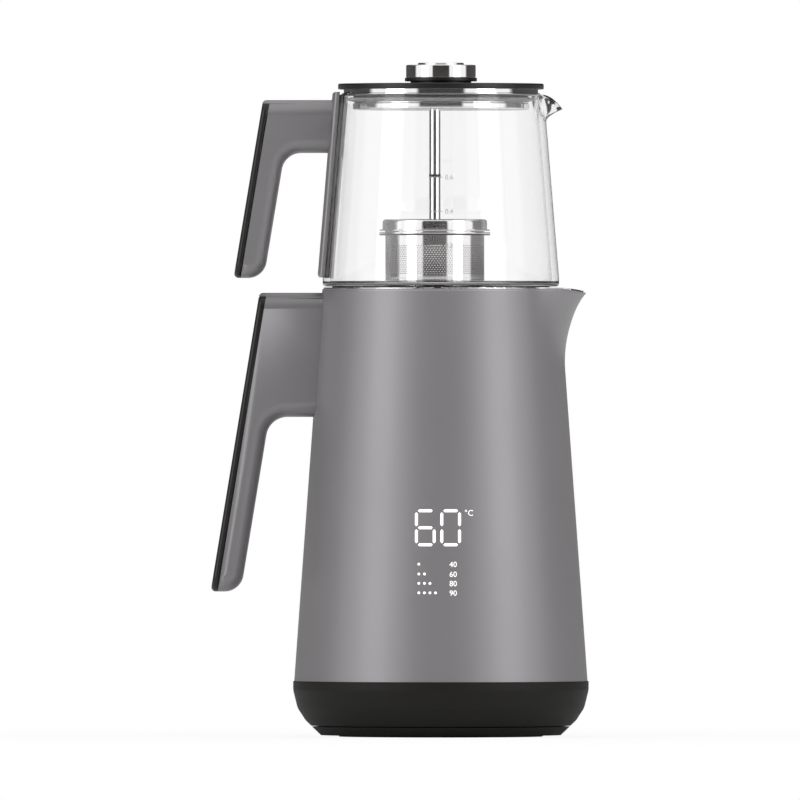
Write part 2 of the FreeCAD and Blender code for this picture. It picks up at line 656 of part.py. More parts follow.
def make_strap_parts():
    """Make the pad and strap on the glass, and the upper handle on them."""
    pad = cone_ring("0.06", "pad_thickness - 0.1", "strap_low_z + 2", "strap_top_z - 6", "strap_width - 4")
    shaped("strap_pad", pad)
    strap = cone_ring("pad_thickness", "strap_thickness", "strap_low_z", "strap_top_z", "strap_width")
    strap = strap.makeFillet(size("strap_round"), outer_rim(strap, size("pad_thickness + strap_thickness")))
    half = size("up_width / 2")
    blank = upright("upper_handle_blank", [
        (up_line("up_top_z", "strip_depth"), "up_top_z"), ("-55", "up_top_z"), ("-55", "up_under_z"),
        (up_line("up_under_z", "up_depth"), "up_under_z"), (up_line("up_end_z", "up_depth"), "up_end_z"),
        (up_line("up_end_z", "strip_depth"), "up_end_z")], "up_width")
    top = size("up_top_z")
    round_edges(blank, "11", along_y_at(size(up_line("up_under_z", "up_depth")), size("up_under_z")))
    round_edges(blank, "end_round", along_y_at(size(up_line("up_end_z", "up_depth")), size("up_end_z")))
    round_edges(blank, "up_rim_round", rim_edges(half, top, up_face, -55))
    round_edges(blank, "top_round", side_edges_at(half, top))
    strip = upright("upper_strip_form", [
        (up_line("up_top_z"), "up_top_z"), (up_line("up_top_z", "strip_depth"), "up_top_z"),
        (up_line("up_end_z", "strip_depth"), "up_end_z"), (up_line("up_end_z"), "up_end_z")], "up_width")
    round_edges(strip, "top_round", side_edges_at(half, top))
    round_edges(strip, "up_rim_round", side_edges_at(half, size("up_end_z")))
    round_edges(strip, "strip_round", lambda edge: outer_long_edge(edge, half, up_face))
    lip, cover = split_lip("upper", strip, "up_top_z")
    cover.Label = "upper_handle_strip"
    handle = joined("upper_handle_lipped", [blank, lip])
    screws = []
    for number, z in enumerate(("up_top_z - 8", "up_under_z + 7"), start=1):
        height = size(z)
        start = -(glass_radius(height) + size("pad_thickness") + 0.3)
        head = Part.makeCylinder(3.0, 1.2, FreeCAD.Vector(start, 0, height), FreeCAD.Vector(-1, 0, 0))
        shank = Part.makeCylinder(size("screw_shank"), 14, FreeCAD.Vector(start, 0, height),
                                  FreeCAD.Vector(-1, 0, 0))
        screws.append(shaped(f"strap_screw_{number}", head.fuse(shank)))
    group = grouped("strap_screws", screws)
    cut("handle_strap", shaped("strap_blank", strap), [group])
    reach = size("pad_thickness + strap_thickness") + 0.02
    tool = shaped("upper_end_tool", Part.makeCone(glass_radius(300) + reach, glass_radius(365) + reach, 65,
                                                  FreeCAD.Vector(0, 0, 300)))
    cut("upper_handle", handle, [tool, group])


def outer_rim(shape, reach):
    """Pick the edges of a shape that lie at a distance from the glass."""
    chosen = []
    for edge in shape.Edges:
        points = edge.discretize(5)
        if all(abs(math.hypot(point.x, point.y) - glass_radius(point.z) - reach) < 0.02 for point in points):
            chosen.append(edge)
    return chosen


def cone_ring(inset, thickness, low, high, width):
    """Make a strip of a conical wall that follows the glass on its -X side."""
    start = size(low)
    rise = size(high) - start
    near = size(inset)
    far = near + size(thickness)
    outer = Part.makeCone(glass_radius(start) + far, glass_radius(start + rise) + far, rise,
                          FreeCAD.Vector(0, 0, start))
    inner = Part.makeCone(glass_radius(start) + near, glass_radius(start + rise) + near, rise,
                          FreeCAD.Vector(0, 0, start))
    span = size(width)
    box = Part.makeBox(60, span, rise, FreeCAD.Vector(-100, -span / 2, start))
    return outer.cut(inner).common(box)


def make_teapot():
    """Make the jug with its lip, its base gasket and its handle."""
    body, lip = make_glass_jug()
    start = size("lip_start_z")
    top = size("glass_top_z")
    wall = size("glass_wall")
    spout = lip(0.0, start, top)
    channel = lip(wall, start, top + 0.5)
    edges = [
        Part.LineSegment(FreeCAD.Vector(51, 0, top), FreeCAD.Vector(57, 0, top)).toShape(),
        Part.Arc(FreeCAD.Vector(57, 0, top), FreeCAD.Vector(63.6, 0, top - 2.3),
                 FreeCAD.Vector(68.6, 0, size("lip_tip_z"))).toShape(),
        Part.LineSegment(FreeCAD.Vector(68.6, 0, size("lip_tip_z")), FreeCAD.Vector(75, 0, 349)).toShape(),
        Part.LineSegment(FreeCAD.Vector(75, 0, 349), FreeCAD.Vector(75, 0, 365)).toShape(),
        Part.LineSegment(FreeCAD.Vector(75, 0, 365), FreeCAD.Vector(51, 0, 365)).toShape(),
        Part.LineSegment(FreeCAD.Vector(51, 0, 365), FreeCAD.Vector(51, 0, top)).toShape(),
    ]
    above = Part.Face(Part.Wire(edges))
    above.translate(FreeCAD.Vector(0, -25, 0))
    above = above.extrude(FreeCAD.Vector(0, 50, 0))
    side = Part.makeBox(40, 50, 30, FreeCAD.Vector(45, -25, start))
    lip_outer = spout.common(side)
    glass = body.Shape.fuse(lip_outer).cut(channel).cut(above).removeSplitter()
    shaped("glass_jug", glass)
    turned("base_gasket", [
        ("boss_radius + 0.1", "boss_z + 0.6"), ("boss_radius + 0.7", "boss_z + 0.6"),
        ("boss_radius + 0.7", "shell_top_z + 0.8"), ("boss_radius + 5", "shell_top_z + 0.8"),
        ("boss_radius + 5", "glass_under_z"), ("boss_radius + 0.1", "glass_under_z")])
    make_strap_parts()


def make_lid():
    """Make the lid, its seal, the knob and the screw that holds them."""
    turned("lid_plate", [
        (2.4, "plate_low_z"), ("plate_radius - 0.5", "plate_low_z"), ("plate_radius", "plate_low_z + 0.5"),
        ("plate_radius", "plate_top_z - 0.8"), ("plate_radius - 0.8", "plate_top_z"), (2.4, "plate_top_z")])
    turned("lid_insert", [
        (0, "insert_low_z"), ("insert_radius - 0.6", "insert_low_z"), ("insert_radius", "insert_low_z + 0.6"),
        ("insert_radius", "insert_low_z + 3.4"), ("insert_radius - 1", "insert_low_z + 3.8"),
        ("insert_radius - 1", "seal_top_z"), ("insert_radius", "seal_top_z + 0.6"),
        ("insert_radius", "glass_top_z"), ("step_radius + 1.2", "glass_top_z"),
        ("step_radius + 1.2", "glass_top_z + 0.7"), ("step_radius", "glass_top_z + 0.7"),
        ("step_radius", "plate_low_z"), ("step_radius - 1.2", "plate_low_z"),
        ("step_radius - 1.2", "glass_top_z + 1.4"), ("insert_radius - 1.4", "glass_top_z + 1.4"),
        ("insert_radius - 2.6", "seal_top_z + 1"), ("insert_radius - 2.6", "insert_low_z + 1.4"),
        (6, "insert_low_z + 1.4"), (6, "plate_low_z"), (2.4, "plate_low_z"), (2.4, "insert_low_z + 5.2"),
        (0, "insert_low_z + 5.2")])
    turned("lid_seal", [
        ("insert_radius - 1", "seal_low_z - 0.6"), ("insert_radius + 1.2", "seal_low_z"),
        ("insert_radius + 4.4", "seal_low_z + 0.7"), ("insert_radius + 4.4", "seal_low_z + 1.3"),
        ("insert_radius + 1.2", "seal_top_z"), ("insert_radius - 1", "seal_top_z")])
    turned("knob_base", [
        (2.4, "plate_top_z"), ("knob_radius - 2.5", "plate_top_z"),
        ("knob_radius - 2.5", "plate_top_z + 1.3"),
        ("knob_radius + 0.7", "plate_top_z + 1.3"), ("knob_radius + 0.7", "knob_low_z"),
        (2.4, "knob_low_z")])
    knob = turned("knob_blank", [
        (2.4, "knob_low_z"), ("knob_radius", "knob_low_z"), ("knob_radius", "knob_top_z"),
        ("knob_disc_radius", "knob_top_z"), ("knob_disc_radius - 0.4", "knob_top_z + 1.2"),
        (0, "knob_top_z + 1.2"), (0, "knob_low_z + 4.4"), (2.4, "knob_low_z + 4.4")])
    knob.Label = "knob"
    turned("knob_screw", [
        (0, "insert_low_z + 5.4"), (2.3, "insert_low_z + 5.4"), (2.3, "knob_low_z + 4.2"),
        (0, "knob_low_z + 4.2")])


def make_infuser():
    """Make the two rods, the cap and the basket, without its fine holes."""
    turned("rod_upper", [
        (0, "rod_joint_z + 0.4"), ("rod_radius", "rod_joint_z + 0.4"), ("rod_radius", "insert_low_z"),
        (0, "insert_low_z")], "infuser_x")
    turned("rod_lower", [
        (0, "cap_top_z - 1.4"), ("rod_radius", "cap_top_z - 1.4"), ("rod_radius", "rod_joint_z - 0.4"),
        ("rod_radius - 1", "rod_joint_z - 0.4"), ("rod_radius - 1", "rod_joint_z + 0.4"),
        (0, "rod_joint_z + 0.4")], "infuser_x")
    turned("infuser_cap", [
        (0, "cap_top_z - 1.4"), ("rod_radius", "cap_top_z - 1.4"), ("rod_radius", "cap_top_z"),
        ("cap_radius - 2", "cap_top_z"), ("cap_radius", "cap_top_z - 2"), ("cap_radius", "cap_low_z"),
        ("cap_radius + 1.6", "cap_low_z"), ("cap_radius + 1.6", "cap_low_z - 1.0"),
        ("cap_radius - 0.8", "cap_low_z - 1.0"), ("cap_radius - 0.8", "cap_top_z - 2.2"),
        ("cap_radius - 1.2", "cap_top_z - 2.8"), (0, "cap_top_z - 2.8")], "infuser_x")
    turned("infuser_basket", [
        (0, "basket_low_z"), ("basket_radius - 1.2", "basket_low_z"), ("basket_radius", "basket_low_z + 1.2"),
        ("basket_radius", "basket_top_z - 1"), ("basket_radius + 3.4", "basket_top_z - 1"),
        ("basket_radius + 3.4", "basket_top_z"), ("basket_radius", "basket_top_z"),
        ("basket_radius", "cap_low_z + 2.6"), ("basket_radius - basket_wall", "cap_low_z + 2.6"),
        ("basket_radius - basket_wall", "basket_low_z + 1.4"),
        ("basket_radius - 1.4", "basket_low_z + basket_wall"), (0, "basket_low_z + basket_wall")],
        "infuser_x")


def make_everything():
    """Build every sub-part in turn."""
    fill_sheet()
    make_power_base()
    shell = make_kettle_walls()
    make_kettle_underside()
    make_electronics()
    make_lower_handle(shell)
    make_teapot()
    make_lid()
    make_infuser()
    doc.recompute()


NODES = [
    "base_shell", "base_bottom_cover", "foot_ring", "base_screws", "connector_tower", "tower_contacts",
    "outer_shell", "inner_tank", "mouth_ring", "base_skirt", "underside_cover", "coupler_socket",
    "heater_plate", "heating_element", "temperature_probe", "control_board", "display_module",
    "lower_handle", "lower_handle_strip", "handle_bracket", "handle_screws", "button_switch",
    "button_spring", "power_button", "glass_jug", "base_gasket", "strap_pad", "handle_strap",
    "upper_handle", "upper_handle_strip", "strap_screws", "lid_plate", "lid_insert", "lid_seal",
    "knob_base", "knob", "knob_screw", "rod_upper", "rod_lower", "infuser_cap", "infuser_basket",
]


def write_parts():
    """Check every object and write each sub-part's shape."""
    for item in doc.Objects:
        if "Invalid" in item.State or "Error" in item.State:
            raise RuntimeError(f"{item.Name} failed: {item.State}")
    os.makedirs("parts", exist_ok=True)
    by_label = {item.Label: item for item in doc.Objects}
    for label in NODES:
        shape = by_label[label].Shape
        if shape.isNull() or not shape.isValid():
            raise RuntimeError(f"{label} is null or not valid")
        shape.exportStep(f"parts/{label}.step")
        print(f"{label}: {len(shape.Solids)} solids, {shape.Volume:.1f} mm3")


make_everything()
write_parts()
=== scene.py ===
"""Dresses the two-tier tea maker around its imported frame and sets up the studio."""

import logging
import math
from dataclasses import dataclass, field, replace
from enum import Enum
from typing import Callable, Iterable, Sequence

import bmesh
import bpy
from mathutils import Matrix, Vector

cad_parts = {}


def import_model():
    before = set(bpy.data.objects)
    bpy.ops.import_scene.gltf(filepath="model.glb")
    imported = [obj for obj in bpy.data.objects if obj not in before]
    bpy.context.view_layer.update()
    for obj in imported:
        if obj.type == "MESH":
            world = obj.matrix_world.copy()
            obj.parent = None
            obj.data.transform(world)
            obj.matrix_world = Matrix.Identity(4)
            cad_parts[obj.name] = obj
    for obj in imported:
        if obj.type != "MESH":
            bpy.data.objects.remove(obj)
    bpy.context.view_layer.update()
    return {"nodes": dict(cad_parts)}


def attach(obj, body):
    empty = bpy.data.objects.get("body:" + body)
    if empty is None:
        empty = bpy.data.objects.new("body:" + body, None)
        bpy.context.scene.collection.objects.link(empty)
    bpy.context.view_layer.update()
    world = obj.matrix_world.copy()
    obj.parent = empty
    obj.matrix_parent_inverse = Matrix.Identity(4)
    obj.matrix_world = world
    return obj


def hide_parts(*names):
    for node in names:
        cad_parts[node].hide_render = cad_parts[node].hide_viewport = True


LOG = logging.getLogger("tea_maker")
MM = 0.001

# How much a brushed surface's grain is stretched, and how a surface drifts and stands out.
STREAK = 0.02
DRIFT_SCALE = 14.0
RELIEF_STRENGTH = 0.35
COAT_ROUGHNESS = 0.12
LEAST_ROUGHNESS = 0.02
# A capital letter's height as a share of the font's size.
CAPITAL_SHARE = 0.72
# The infuser's axis stands a little off the lid's.
INFUSER_X = -3.4

Point = tuple[float, float]
Corner = tuple[float, float, float]


class Bump(Enum):
    """How a finish's surface is broken up."""

    GRAIN = "grain"
    BRUSHED_ROUND = "brushed_round"
    NONE = "none"


def linear(hex_colour: str) -> tuple[float, float, float, float]:
    """Turn an sRGB hex colour into linear RGBA.

    Args:
        hex_colour: Six hex digits with a leading hash.

    Returns:
        Linear red, green, blue and an alpha of one.
    """
    values = [int(hex_colour[start:start + 2], 16) / 255 for start in (1, 3, 5)]
    steps = [v / 12.92 if v <= 0.04045 else ((v + 0.055) / 1.055) ** 2.4 for v in values]
    return (steps[0], steps[1], steps[2], 1.0)


def add_node(tree: bpy.types.NodeTree, kind: str, settings: dict | None = None,
             links: dict | None = None) -> bpy.types.Node:
    """Add a node with its settings and what feeds its inputs.

    Args:
        tree: The node tree that gets the node.
        kind: The node's Blender type name.
        settings: Attribute names or input names with plain values.
        links: Input names or numbers with the output socket that feeds them.

    Returns:
        The new node.
    """
    node = tree.nodes.new(kind)
    for name, value in (settings or {}).items():
        if isinstance(name, str) and hasattr(node, name):
            setattr(node, name, value)
        else:
            node.inputs[name].default_value = value
    for name, socket in (links or {}).items():
        tree.links.new(socket, node.inputs[name])
    return node


@dataclass(frozen=True)
class Finish:
    """One real finish and the numbers that describe how it takes light."""

    name: str
    colour: str
    roughness: float
    metallic: float = 0.0
    ior: float = 1.5
    coat: float = 0.0
    bump: Bump = Bump.GRAIN
    grain_mm: float = 0.5
    depth: float = 0.02
    shade: float = 0.06
    rough_spread: float = 0.05
    transmission: float = 0.0
    glow: float = 0.0

    def build(self) -> bpy.types.Material:
        """Make the material.

        Returns:
            A node material that reads Object coordinates.
        """
        material = bpy.data.materials.new(self.name)
        material.use_nodes = True
        tree = material.node_tree
        tree.nodes.clear()
        shader = add_node(tree, "ShaderNodeBsdfPrincipled", {
            "Base Color": linear(self.colour), "Roughness": self.roughness, "Metallic": self.metallic,
            "Coat Weight": self.coat, "Coat Roughness": COAT_ROUGHNESS,
            "Transmission Weight": self.transmission})
        if self.metallic < 1.0:
            shader.inputs["IOR"].default_value = self.ior
        if self.glow:
            shader.inputs["Emission Color"].default_value = linear(self.colour)
            shader.inputs["Emission Strength"].default_value = self.glow
        add_node(tree, "ShaderNodeOutputMaterial", links={"Surface": shader.outputs["BSDF"]})
        if self.bump is not Bump.NONE:
            self.add_surface(tree, shader)
        return material

    def add_surface(self, tree: bpy.types.NodeTree, shader: bpy.types.Node) -> None:
        """Add the colour drift, the roughness drift and the fine relief.

        Args:
            tree: The material's node tree.
            shader: The shader that takes them.
        """
        place = add_node(tree, "ShaderNodeTexCoord")
        stretch = (STREAK, STREAK, 1.0) if self.bump is Bump.BRUSHED_ROUND else (1.0, 1.0, 1.0)
        mapping = add_node(tree, "ShaderNodeMapping", {"Scale": stretch},
                           {"Vector": place.outputs["Object"]})
        fine = add_node(tree, "ShaderNodeTexNoise", {"Scale": 1.0 / (self.grain_mm * MM), "Detail": 3.0},
                        {"Vector": mapping.outputs["Vector"]})
        broad = add_node(tree, "ShaderNodeTexNoise", {"Scale": DRIFT_SCALE, "Detail": 2.0},
                         {"Vector": place.outputs["Object"]})
        base = linear(self.colour)
        dark = tuple(channel * (1 - self.shade) for channel in base[:3]) + (1.0,)
        light = tuple(min(1.0, channel * (1 + self.shade)) for channel in base[:3]) + (1.0,)
        tint = add_node(tree, "ShaderNodeMix", {"data_type": "RGBA"}, {0: fine.outputs["Fac"]})
        tint.inputs[6].default_value = dark
        tint.inputs[7].default_value = light
        tree.links.new(tint.outputs[2], shader.inputs["Base Color"])
        rough = add_node(tree, "ShaderNodeMapRange", {
            "To Min": max(LEAST_ROUGHNESS, self.roughness - self.rough_spread),
            "To Max": self.roughness + self.rough_spread}, {"Value": broad.outputs["Fac"]})
        tree.links.new(rough.outputs["Result"], shader.inputs["Roughness"])
        relief = add_node(tree, "ShaderNodeBump", {
            "Strength": RELIEF_STRENGTH, "Distance": self.depth * MM}, {"Height": fine.outputs["Fac"]})
        tree.links.new(relief.outputs["Normal"], shader.inputs["Normal"])


# Moulded polypropylene with an aluminium-flake lacquer: soft bright bands and a faint sparkle.
SATIN_GREY = Finish("flake_lacquered_polypropylene", "#949294", 0.4, metallic=0.45, coat=0.1,
                    grain_mm=0.35, depth=0.012, shade=0.05)
HANDLE_GREY = replace(SATIN_GREY, name="flake_lacquered_handle", colour="#8b898b", metallic=0.4)
# Glass-filled nylon with a spark-eroded mould texture: dark brown-black without sharp highlights.
BLACK_NYLON = Finish("spark_eroded_black_nylon", "#0e0c09", 0.55, ior=1.38, grain_mm=0.45, depth=0.05,
                     shade=0.14)
# Smooth moulded ABS on the grips, handled often and so a little glossier.
BLACK_ABS = Finish("moulded_black_abs", "#121110", 0.36, ior=1.45, coat=0.05, grain_mm=0.6,
                   depth=0.012, shade=0.1)
# Tinted enamel on the lid plate.
LID_ENAMEL = Finish("dark_lid_enamel", "#131211", 0.38, ior=1.45, coat=0.08, grain_mm=0.5,
                    depth=0.008, shade=0.06)
# Silicone rubber, matt with a fine bloom.
SILICONE = Finish("black_silicone", "#232120", 0.62, grain_mm=0.8, depth=0.03, shade=0.12)
# Milky platinum-cured silicone of the lid seal and of the pad behind the strap.
PALE_SILICONE = Finish("milky_silicone", "#b9b7b8", 0.45, grain_mm=0.8, depth=0.02, shade=0.05)
# Mirror-polished 18/8 stainless steel with the faint rings that the wheel leaves.
POLISHED = Finish("mirror_polished_stainless", "#f1f0f1", 0.06, metallic=1.0, bump=Bump.BRUSHED_ROUND,
                  grain_mm=0.9, depth=0.002, shade=0.02, rough_spread=0.02)
# Satin-polished steel of the infuser: nearly a mirror, with short soft streaks.
SATIN_STEEL = Finish("satin_polished_stainless", "#f3f1f2", 0.08, metallic=1.0, bump=Bump.BRUSHED_ROUND,
                     grain_mm=0.4, depth=0.0015, shade=0.03, rough_spread=0.02)
# Stainless steel brushed round its axis: long soft streaks.
BRUSHED = Finish("ring_brushed_stainless", "#c9c7c8", 0.24, metallic=1.0, bump=Bump.BRUSHED_ROUND,
                 grain_mm=0.35, depth=0.012, shade=0.07, rough_spread=0.06)
CAST = Finish("sand_cast_aluminium", "#b9b9ba", 0.48, metallic=1.0, grain_mm=0.9, depth=0.05, shade=0.09)
BRASS = Finish("turned_brass", "#c9a458", 0.22, metallic=1.0, bump=Bump.BRUSHED_ROUND, grain_mm=0.3,
               depth=0.01, shade=0.06)
BOARD = Finish("solder_masked_board", "#1d4a2c", 0.4, coat=0.3, grain_mm=1.2, depth=0.02, shade=0.1)
# Borosilicate glass, pressed and fire-polished: clear, with a faint grey depth at its edges.
CLEAR_GLASS = Finish("borosilicate_glass", "#fdfdfd", 0.0, ior=1.47, transmission=1.0, bump=Bump.NONE)
# Screen-printed ceramic ink on the jug.
GLASS_INK = Finish("grey_ceramic_ink", "#b0aeae", 0.6, grain_mm=0.3, depth=0.01, shade=0.08)
# Light through a dead-front window: even, barely blooming.
LIT_WINDOW = Finish("lit_display_window", "#f6f5f5", 0.45, bump=Bump.NONE, glow=0.75)


class Workshop:
    """Makes materials once and finishes pieces for the frame."""

    def __init__(self, nodes: dict[str, bpy.types.Object]) -> None:
        """Keep the frame's nodes."""
        self.nodes = nodes
        self.materials: dict[str, bpy.types.Material] = {}

    def material(self, finish: Finish) -> bpy.types.Material:
        """Return a finish's material, made on first use."""
        if finish.name not in self.materials:
            self.materials[finish.name] = finish.build()
        return self.materials[finish.name]

    def dress(self, piece: bpy.types.Object, finish: Finish) -> None:
        """Put one finish all over a piece."""
        piece.data.materials.clear()
        piece.data.materials.append(self.material(finish))

    def place(self, piece: bpy.types.Object, body: str, finish: Finish, *nodes: str) -> bpy.types.Object:
        """Dress a piece, let it ride on a body and say which nodes it stands for.

        Args:
            piece: The finished piece.
            body: The body that carries it.
            finish: Its finish.
            nodes: The nodes that it replaces.

        Returns:
            The same piece.
        """
        self.dress(piece, finish)
        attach(piece, body)
        if nodes:
            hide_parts(*nodes)
        LOG.info("%s rides on %s, %d faces", piece.name, body, len(piece.data.polygons))
        return piece

    def refine(self, node: str, body: str, finish: Finish, angle: float = 32.0) -> bpy.types.Object:
        """Merge a copy of a node's mesh, smooth its round faces and put it in the node's place.

        Args:
            node: The node to copy.
            body: The body that carries it.
            finish: Its finish.
            angle: The widest angle, in degrees, that is still shaded smooth.

        Returns:
            The refined piece.
        """
        piece = new_piece(node + "_skin", self.nodes[node].data.copy())
        edit(piece, lambda: bpy.ops.mesh.remove_doubles(threshold=0.004 * MM))
        smooth(piece, angle)
        return self.place(piece, body, finish, node)


def new_piece(name: str, mesh: bpy.types.Mesh) -> bpy.types.Object:
    """Put a mesh in the scene as a piece of its own."""
    piece = bpy.data.objects.new(name, mesh)
    bpy.context.scene.collection.objects.link(piece)
    return piece


def joined(pieces: Sequence[bpy.types.Object]) -> bpy.types.Object:
    """Join pieces into the first of them and return it."""
    bpy.ops.object.select_all(action="DESELECT")
    for piece in pieces:
        piece.select_set(True)
    bpy.context.view_layer.objects.active = pieces[0]
    if len(pieces) > 1:
        bpy.ops.object.join()
    return pieces[0]


def only(piece: bpy.types.Object) -> None:
    """Select one piece and make it active."""
    bpy.ops.object.select_all(action="DESELECT")
    piece.select_set(True)
    bpy.context.view_layer.objects.active = piece


def edit(piece: bpy.types.Object, *steps: Callable[[], object]) -> None:
    """Run edit-mode steps on a whole piece.

    Args:
        piece: The piece to edit.
        steps: Calls to run in order, with everything selected.
    """
    only(piece)
    bpy.ops.object.mode_set(mode="EDIT")
    bpy.ops.mesh.select_all(action="SELECT")
    for step in steps:
        step()
    bpy.ops.object.mode_set(mode="OBJECT")


def smooth(piece: bpy.types.Object, angle: float) -> None:
    """Shade a piece smooth up to an angle in degrees, and keep its large faces true."""
    only(piece)
    bpy.ops.object.shade_smooth_by_angle(angle=math.radians(angle))
    weighted = piece.modifiers.new("large_faces_first", "WEIGHTED_NORMAL")
    weighted.keep_sharp = True
    bpy.ops.object.modifier_apply(modifier=weighted.name)


def softened(corners: Sequence[Corner], closed: bool = True, steps: int = 5) -> list[Point]:
    """Round the corners of an outline.

    Args:
        corners: Each corner's x, z and rounding radius, in millimetres.
        closed: Whether the last corner joins the first.
        steps: Straight pieces in each rounding.

    Returns:
        The outline's points.
    """
    points: list[Point] = []
    count = len(corners)
    for index, (x, z, radius) in enumerate(corners):
        at_end = not closed and index in (0, count - 1)
        if radius <= 0 or at_end:
            points.append((x, z))
            continue
        here = Vector((x, z))
        back = (Vector(corners[index - 1][:2]) - here).normalized()
        ahead = (Vector(corners[(index + 1) % count][:2]) - here).normalized()
        half = math.acos(max(-1.0, min(1.0, back.dot(ahead)))) / 2
        reach = radius / math.tan(half)
        first = here + back * reach
        last = here + ahead * reach
        for step in range(steps + 1):
            share = step / steps
            blend = first * (1 - share) ** 2 + here * 2 * share * (1 - share) + last * share ** 2
            points.append((blend.x, blend.y))
    return points


def lathe(name: str, outline: Sequence[Point], closed: bool = True, centre_x: float = 0.0,
          steps: int = 160, angle: float = 30.0) -> bpy.types.Object:
    """Spin an outline about the vertical axis.

    Args:
        name: The piece's name.
        outline: Radius and height of each point, in millimetres.
        closed: Whether the outline is a loop clear of the axis.
        centre_x: Where the axis stands.
        steps: Parts of the full turn.
        angle: The widest angle that is shaded smooth.

    Returns:
        The new piece.
    """
    mesh = bpy.data.meshes.new(name)
    points = [((radius + centre_x) * MM, 0.0, height * MM) for radius, height in outline]
    edges = [(index, index + 1) for index in range(len(points) - 1)]
    if closed:
        edges.append((len(points) - 1, 0))
    mesh.from_pydata(points, edges, [])
    piece = new_piece(name, mesh)
    centre = (centre_x * MM, 0, 0)
    edit(piece,
         lambda: bpy.ops.mesh.spin(steps=steps, angle=math.tau, center=centre, axis=(0, 0, 1)),
         lambda: bpy.ops.mesh.remove_doubles(threshold=0.002 * MM),
         lambda: bpy.ops.mesh.normals_make_consistent(inside=False))
    smooth(piece, angle)
    return piece


def move_points(piece: bpy.types.Object, rule: Callable[[Vector], Vector]) -> None:
    """Move every point of a piece by a rule that works in millimetres."""
    for vertex in piece.data.vertices:
        vertex.co = rule(vertex.co / MM) * MM
    piece.data.update()


def run(start: Point, end: Point, steps: int) -> list[Point]:
    """Divide a straight run into equal steps, leaving out its start."""
    return [(start[0] + (end[0] - start[0]) * step / steps, start[1] + (end[1] - start[1]) * step / steps)
            for step in range(1, steps + 1)]


@dataclass
class Cone:
    """A wall that narrows evenly upwards, in millimetres."""

    low_z: float
    low_radius: float
    top_z: float
    top_radius: float

    def radius(self, z: float) -> float:
        """Return the wall's radius at a height."""
        share = (z - self.low_z) / (self.top_z - self.low_z)
        return self.low_radius + (self.top_radius - self.low_radius) * share

    def front(self, x: float, z: float, lift: float) -> Vector:
        """Return the point on the wall's front above x and z, lifted off it."""
        radius = self.radius(z) + lift
        return Vector((x, -math.sqrt(radius ** 2 - x ** 2), z))


@dataclass
class Print:
    """Flat marks that are wrapped on the front of a cone."""

    cone: Cone
    lift: float
    thickness: float
    outlines: list[list[Point]] = field(default_factory=list)
    words: list[tuple[str, float, float, float]] = field(default_factory=list)
    slice_width: float = 1.5
    slice_shift: float = 0.013

    def bar(self, x: float, z: float, width: float, height: float) -> None:
        """Add an upright rectangle by its centre and size."""
        across = width / 2
        up = height / 2
        self.outlines.append([(x - across, z - up), (x + across, z - up), (x + across, z + up),
                              (x - across, z + up)])

    def dot(self, x: float, z: float, radius: float) -> None:
        """Add a round dot."""
        turns = [math.tau * step / 20 for step in range(20)]
        self.outlines.append([(x + radius * math.cos(a), z + radius * math.sin(a)) for a in turns])

    def segment(self, start: Point, end: Point, width: float) -> None:
        """Add a lit bar with pointed ends between two points."""
        first = Vector(start)
        last = Vector(end)
        along = (last - first).normalized()
        side = Vector((-along.y, along.x)) * width / 2
        tip = along * width / 2
        ring = [first, first + tip - side, last - tip - side, last, last - tip + side, first + tip + side]
        self.outlines.append([(point.x, point.y) for point in ring])

    def word(self, text: str, x: float, z: float, height: float) -> None:
        """Add a plain number or unit whose left end stands at x and whose foot stands at z."""
        self.words.append((text, x, z, height))

    def flat_word(self, text: str, x: float, z: float, height: float) -> bpy.types.Object:
        """Make the flat letters of a word, standing in the XZ plane."""
        bpy.ops.object.select_all(action="DESELECT")
        bpy.ops.object.text_add(location=(x * MM, 0, z * MM), rotation=(math.pi / 2, 0, 0))
        letters = bpy.context.active_object
        letters.data.body = text
        letters.data.size = height / CAPITAL_SHARE * MM
        letters.data.resolution_u = 3
        only(letters)
        bpy.ops.object.convert(target="MESH")
        bpy.ops.object.transform_apply(location=True, rotation=True, scale=True)
        return bpy.context.active_object

    def slice_at(self, x: float) -> Callable[[], object]:
        """Return a step that cuts the flat marks at x, so that they can bend round the cone."""
        def cut() -> None:
            bpy.ops.mesh.select_all(action="SELECT")
            bpy.ops.mesh.bisect(plane_co=((x + self.slice_shift) * MM, 0, 0), plane_no=(1, 0, 0))
            bpy.ops.mesh.select_all(action="SELECT")
        return cut

    def build(self, name: str) -> bpy.types.Object:
        """Make one piece of all marks.

        Args:
            name: The piece's name.

        Returns:
            The wrapped marks, with a small thickness.
        """
        mesh = bpy.data.meshes.new(name)
        points = []
        faces = []
        for outline in self.outlines:
            start = len(points)
            points += [(x * MM, 0.0, z * MM) for x, z in outline]
            faces.append(list(range(start, start + len(outline))))
        mesh.from_pydata(points, [], faces)
        letters = [self.flat_word(*word) for word in self.words]
        piece = joined([new_piece(name, mesh)] + letters)
        edit(piece, *[self.slice_at(step * self.slice_width) for step in range(-12, 13)],
             lambda: bpy.ops.mesh.extrude_region_move(
                 TRANSFORM_OT_translate={"value": (0, self.thickness * MM, 0)}))
        lift = self.lift
        thickness = self.thickness

        def wrap(point: Vector) -> Vector:
            inward = lift if point.y < thickness / 2 else lift - thickness
            return self.cone.front(point.x, point.z, inward)
        move_points(piece, wrap)
        edit(piece, lambda: bpy.ops.mesh.normals_make_consistent(inside=False))
        return piece


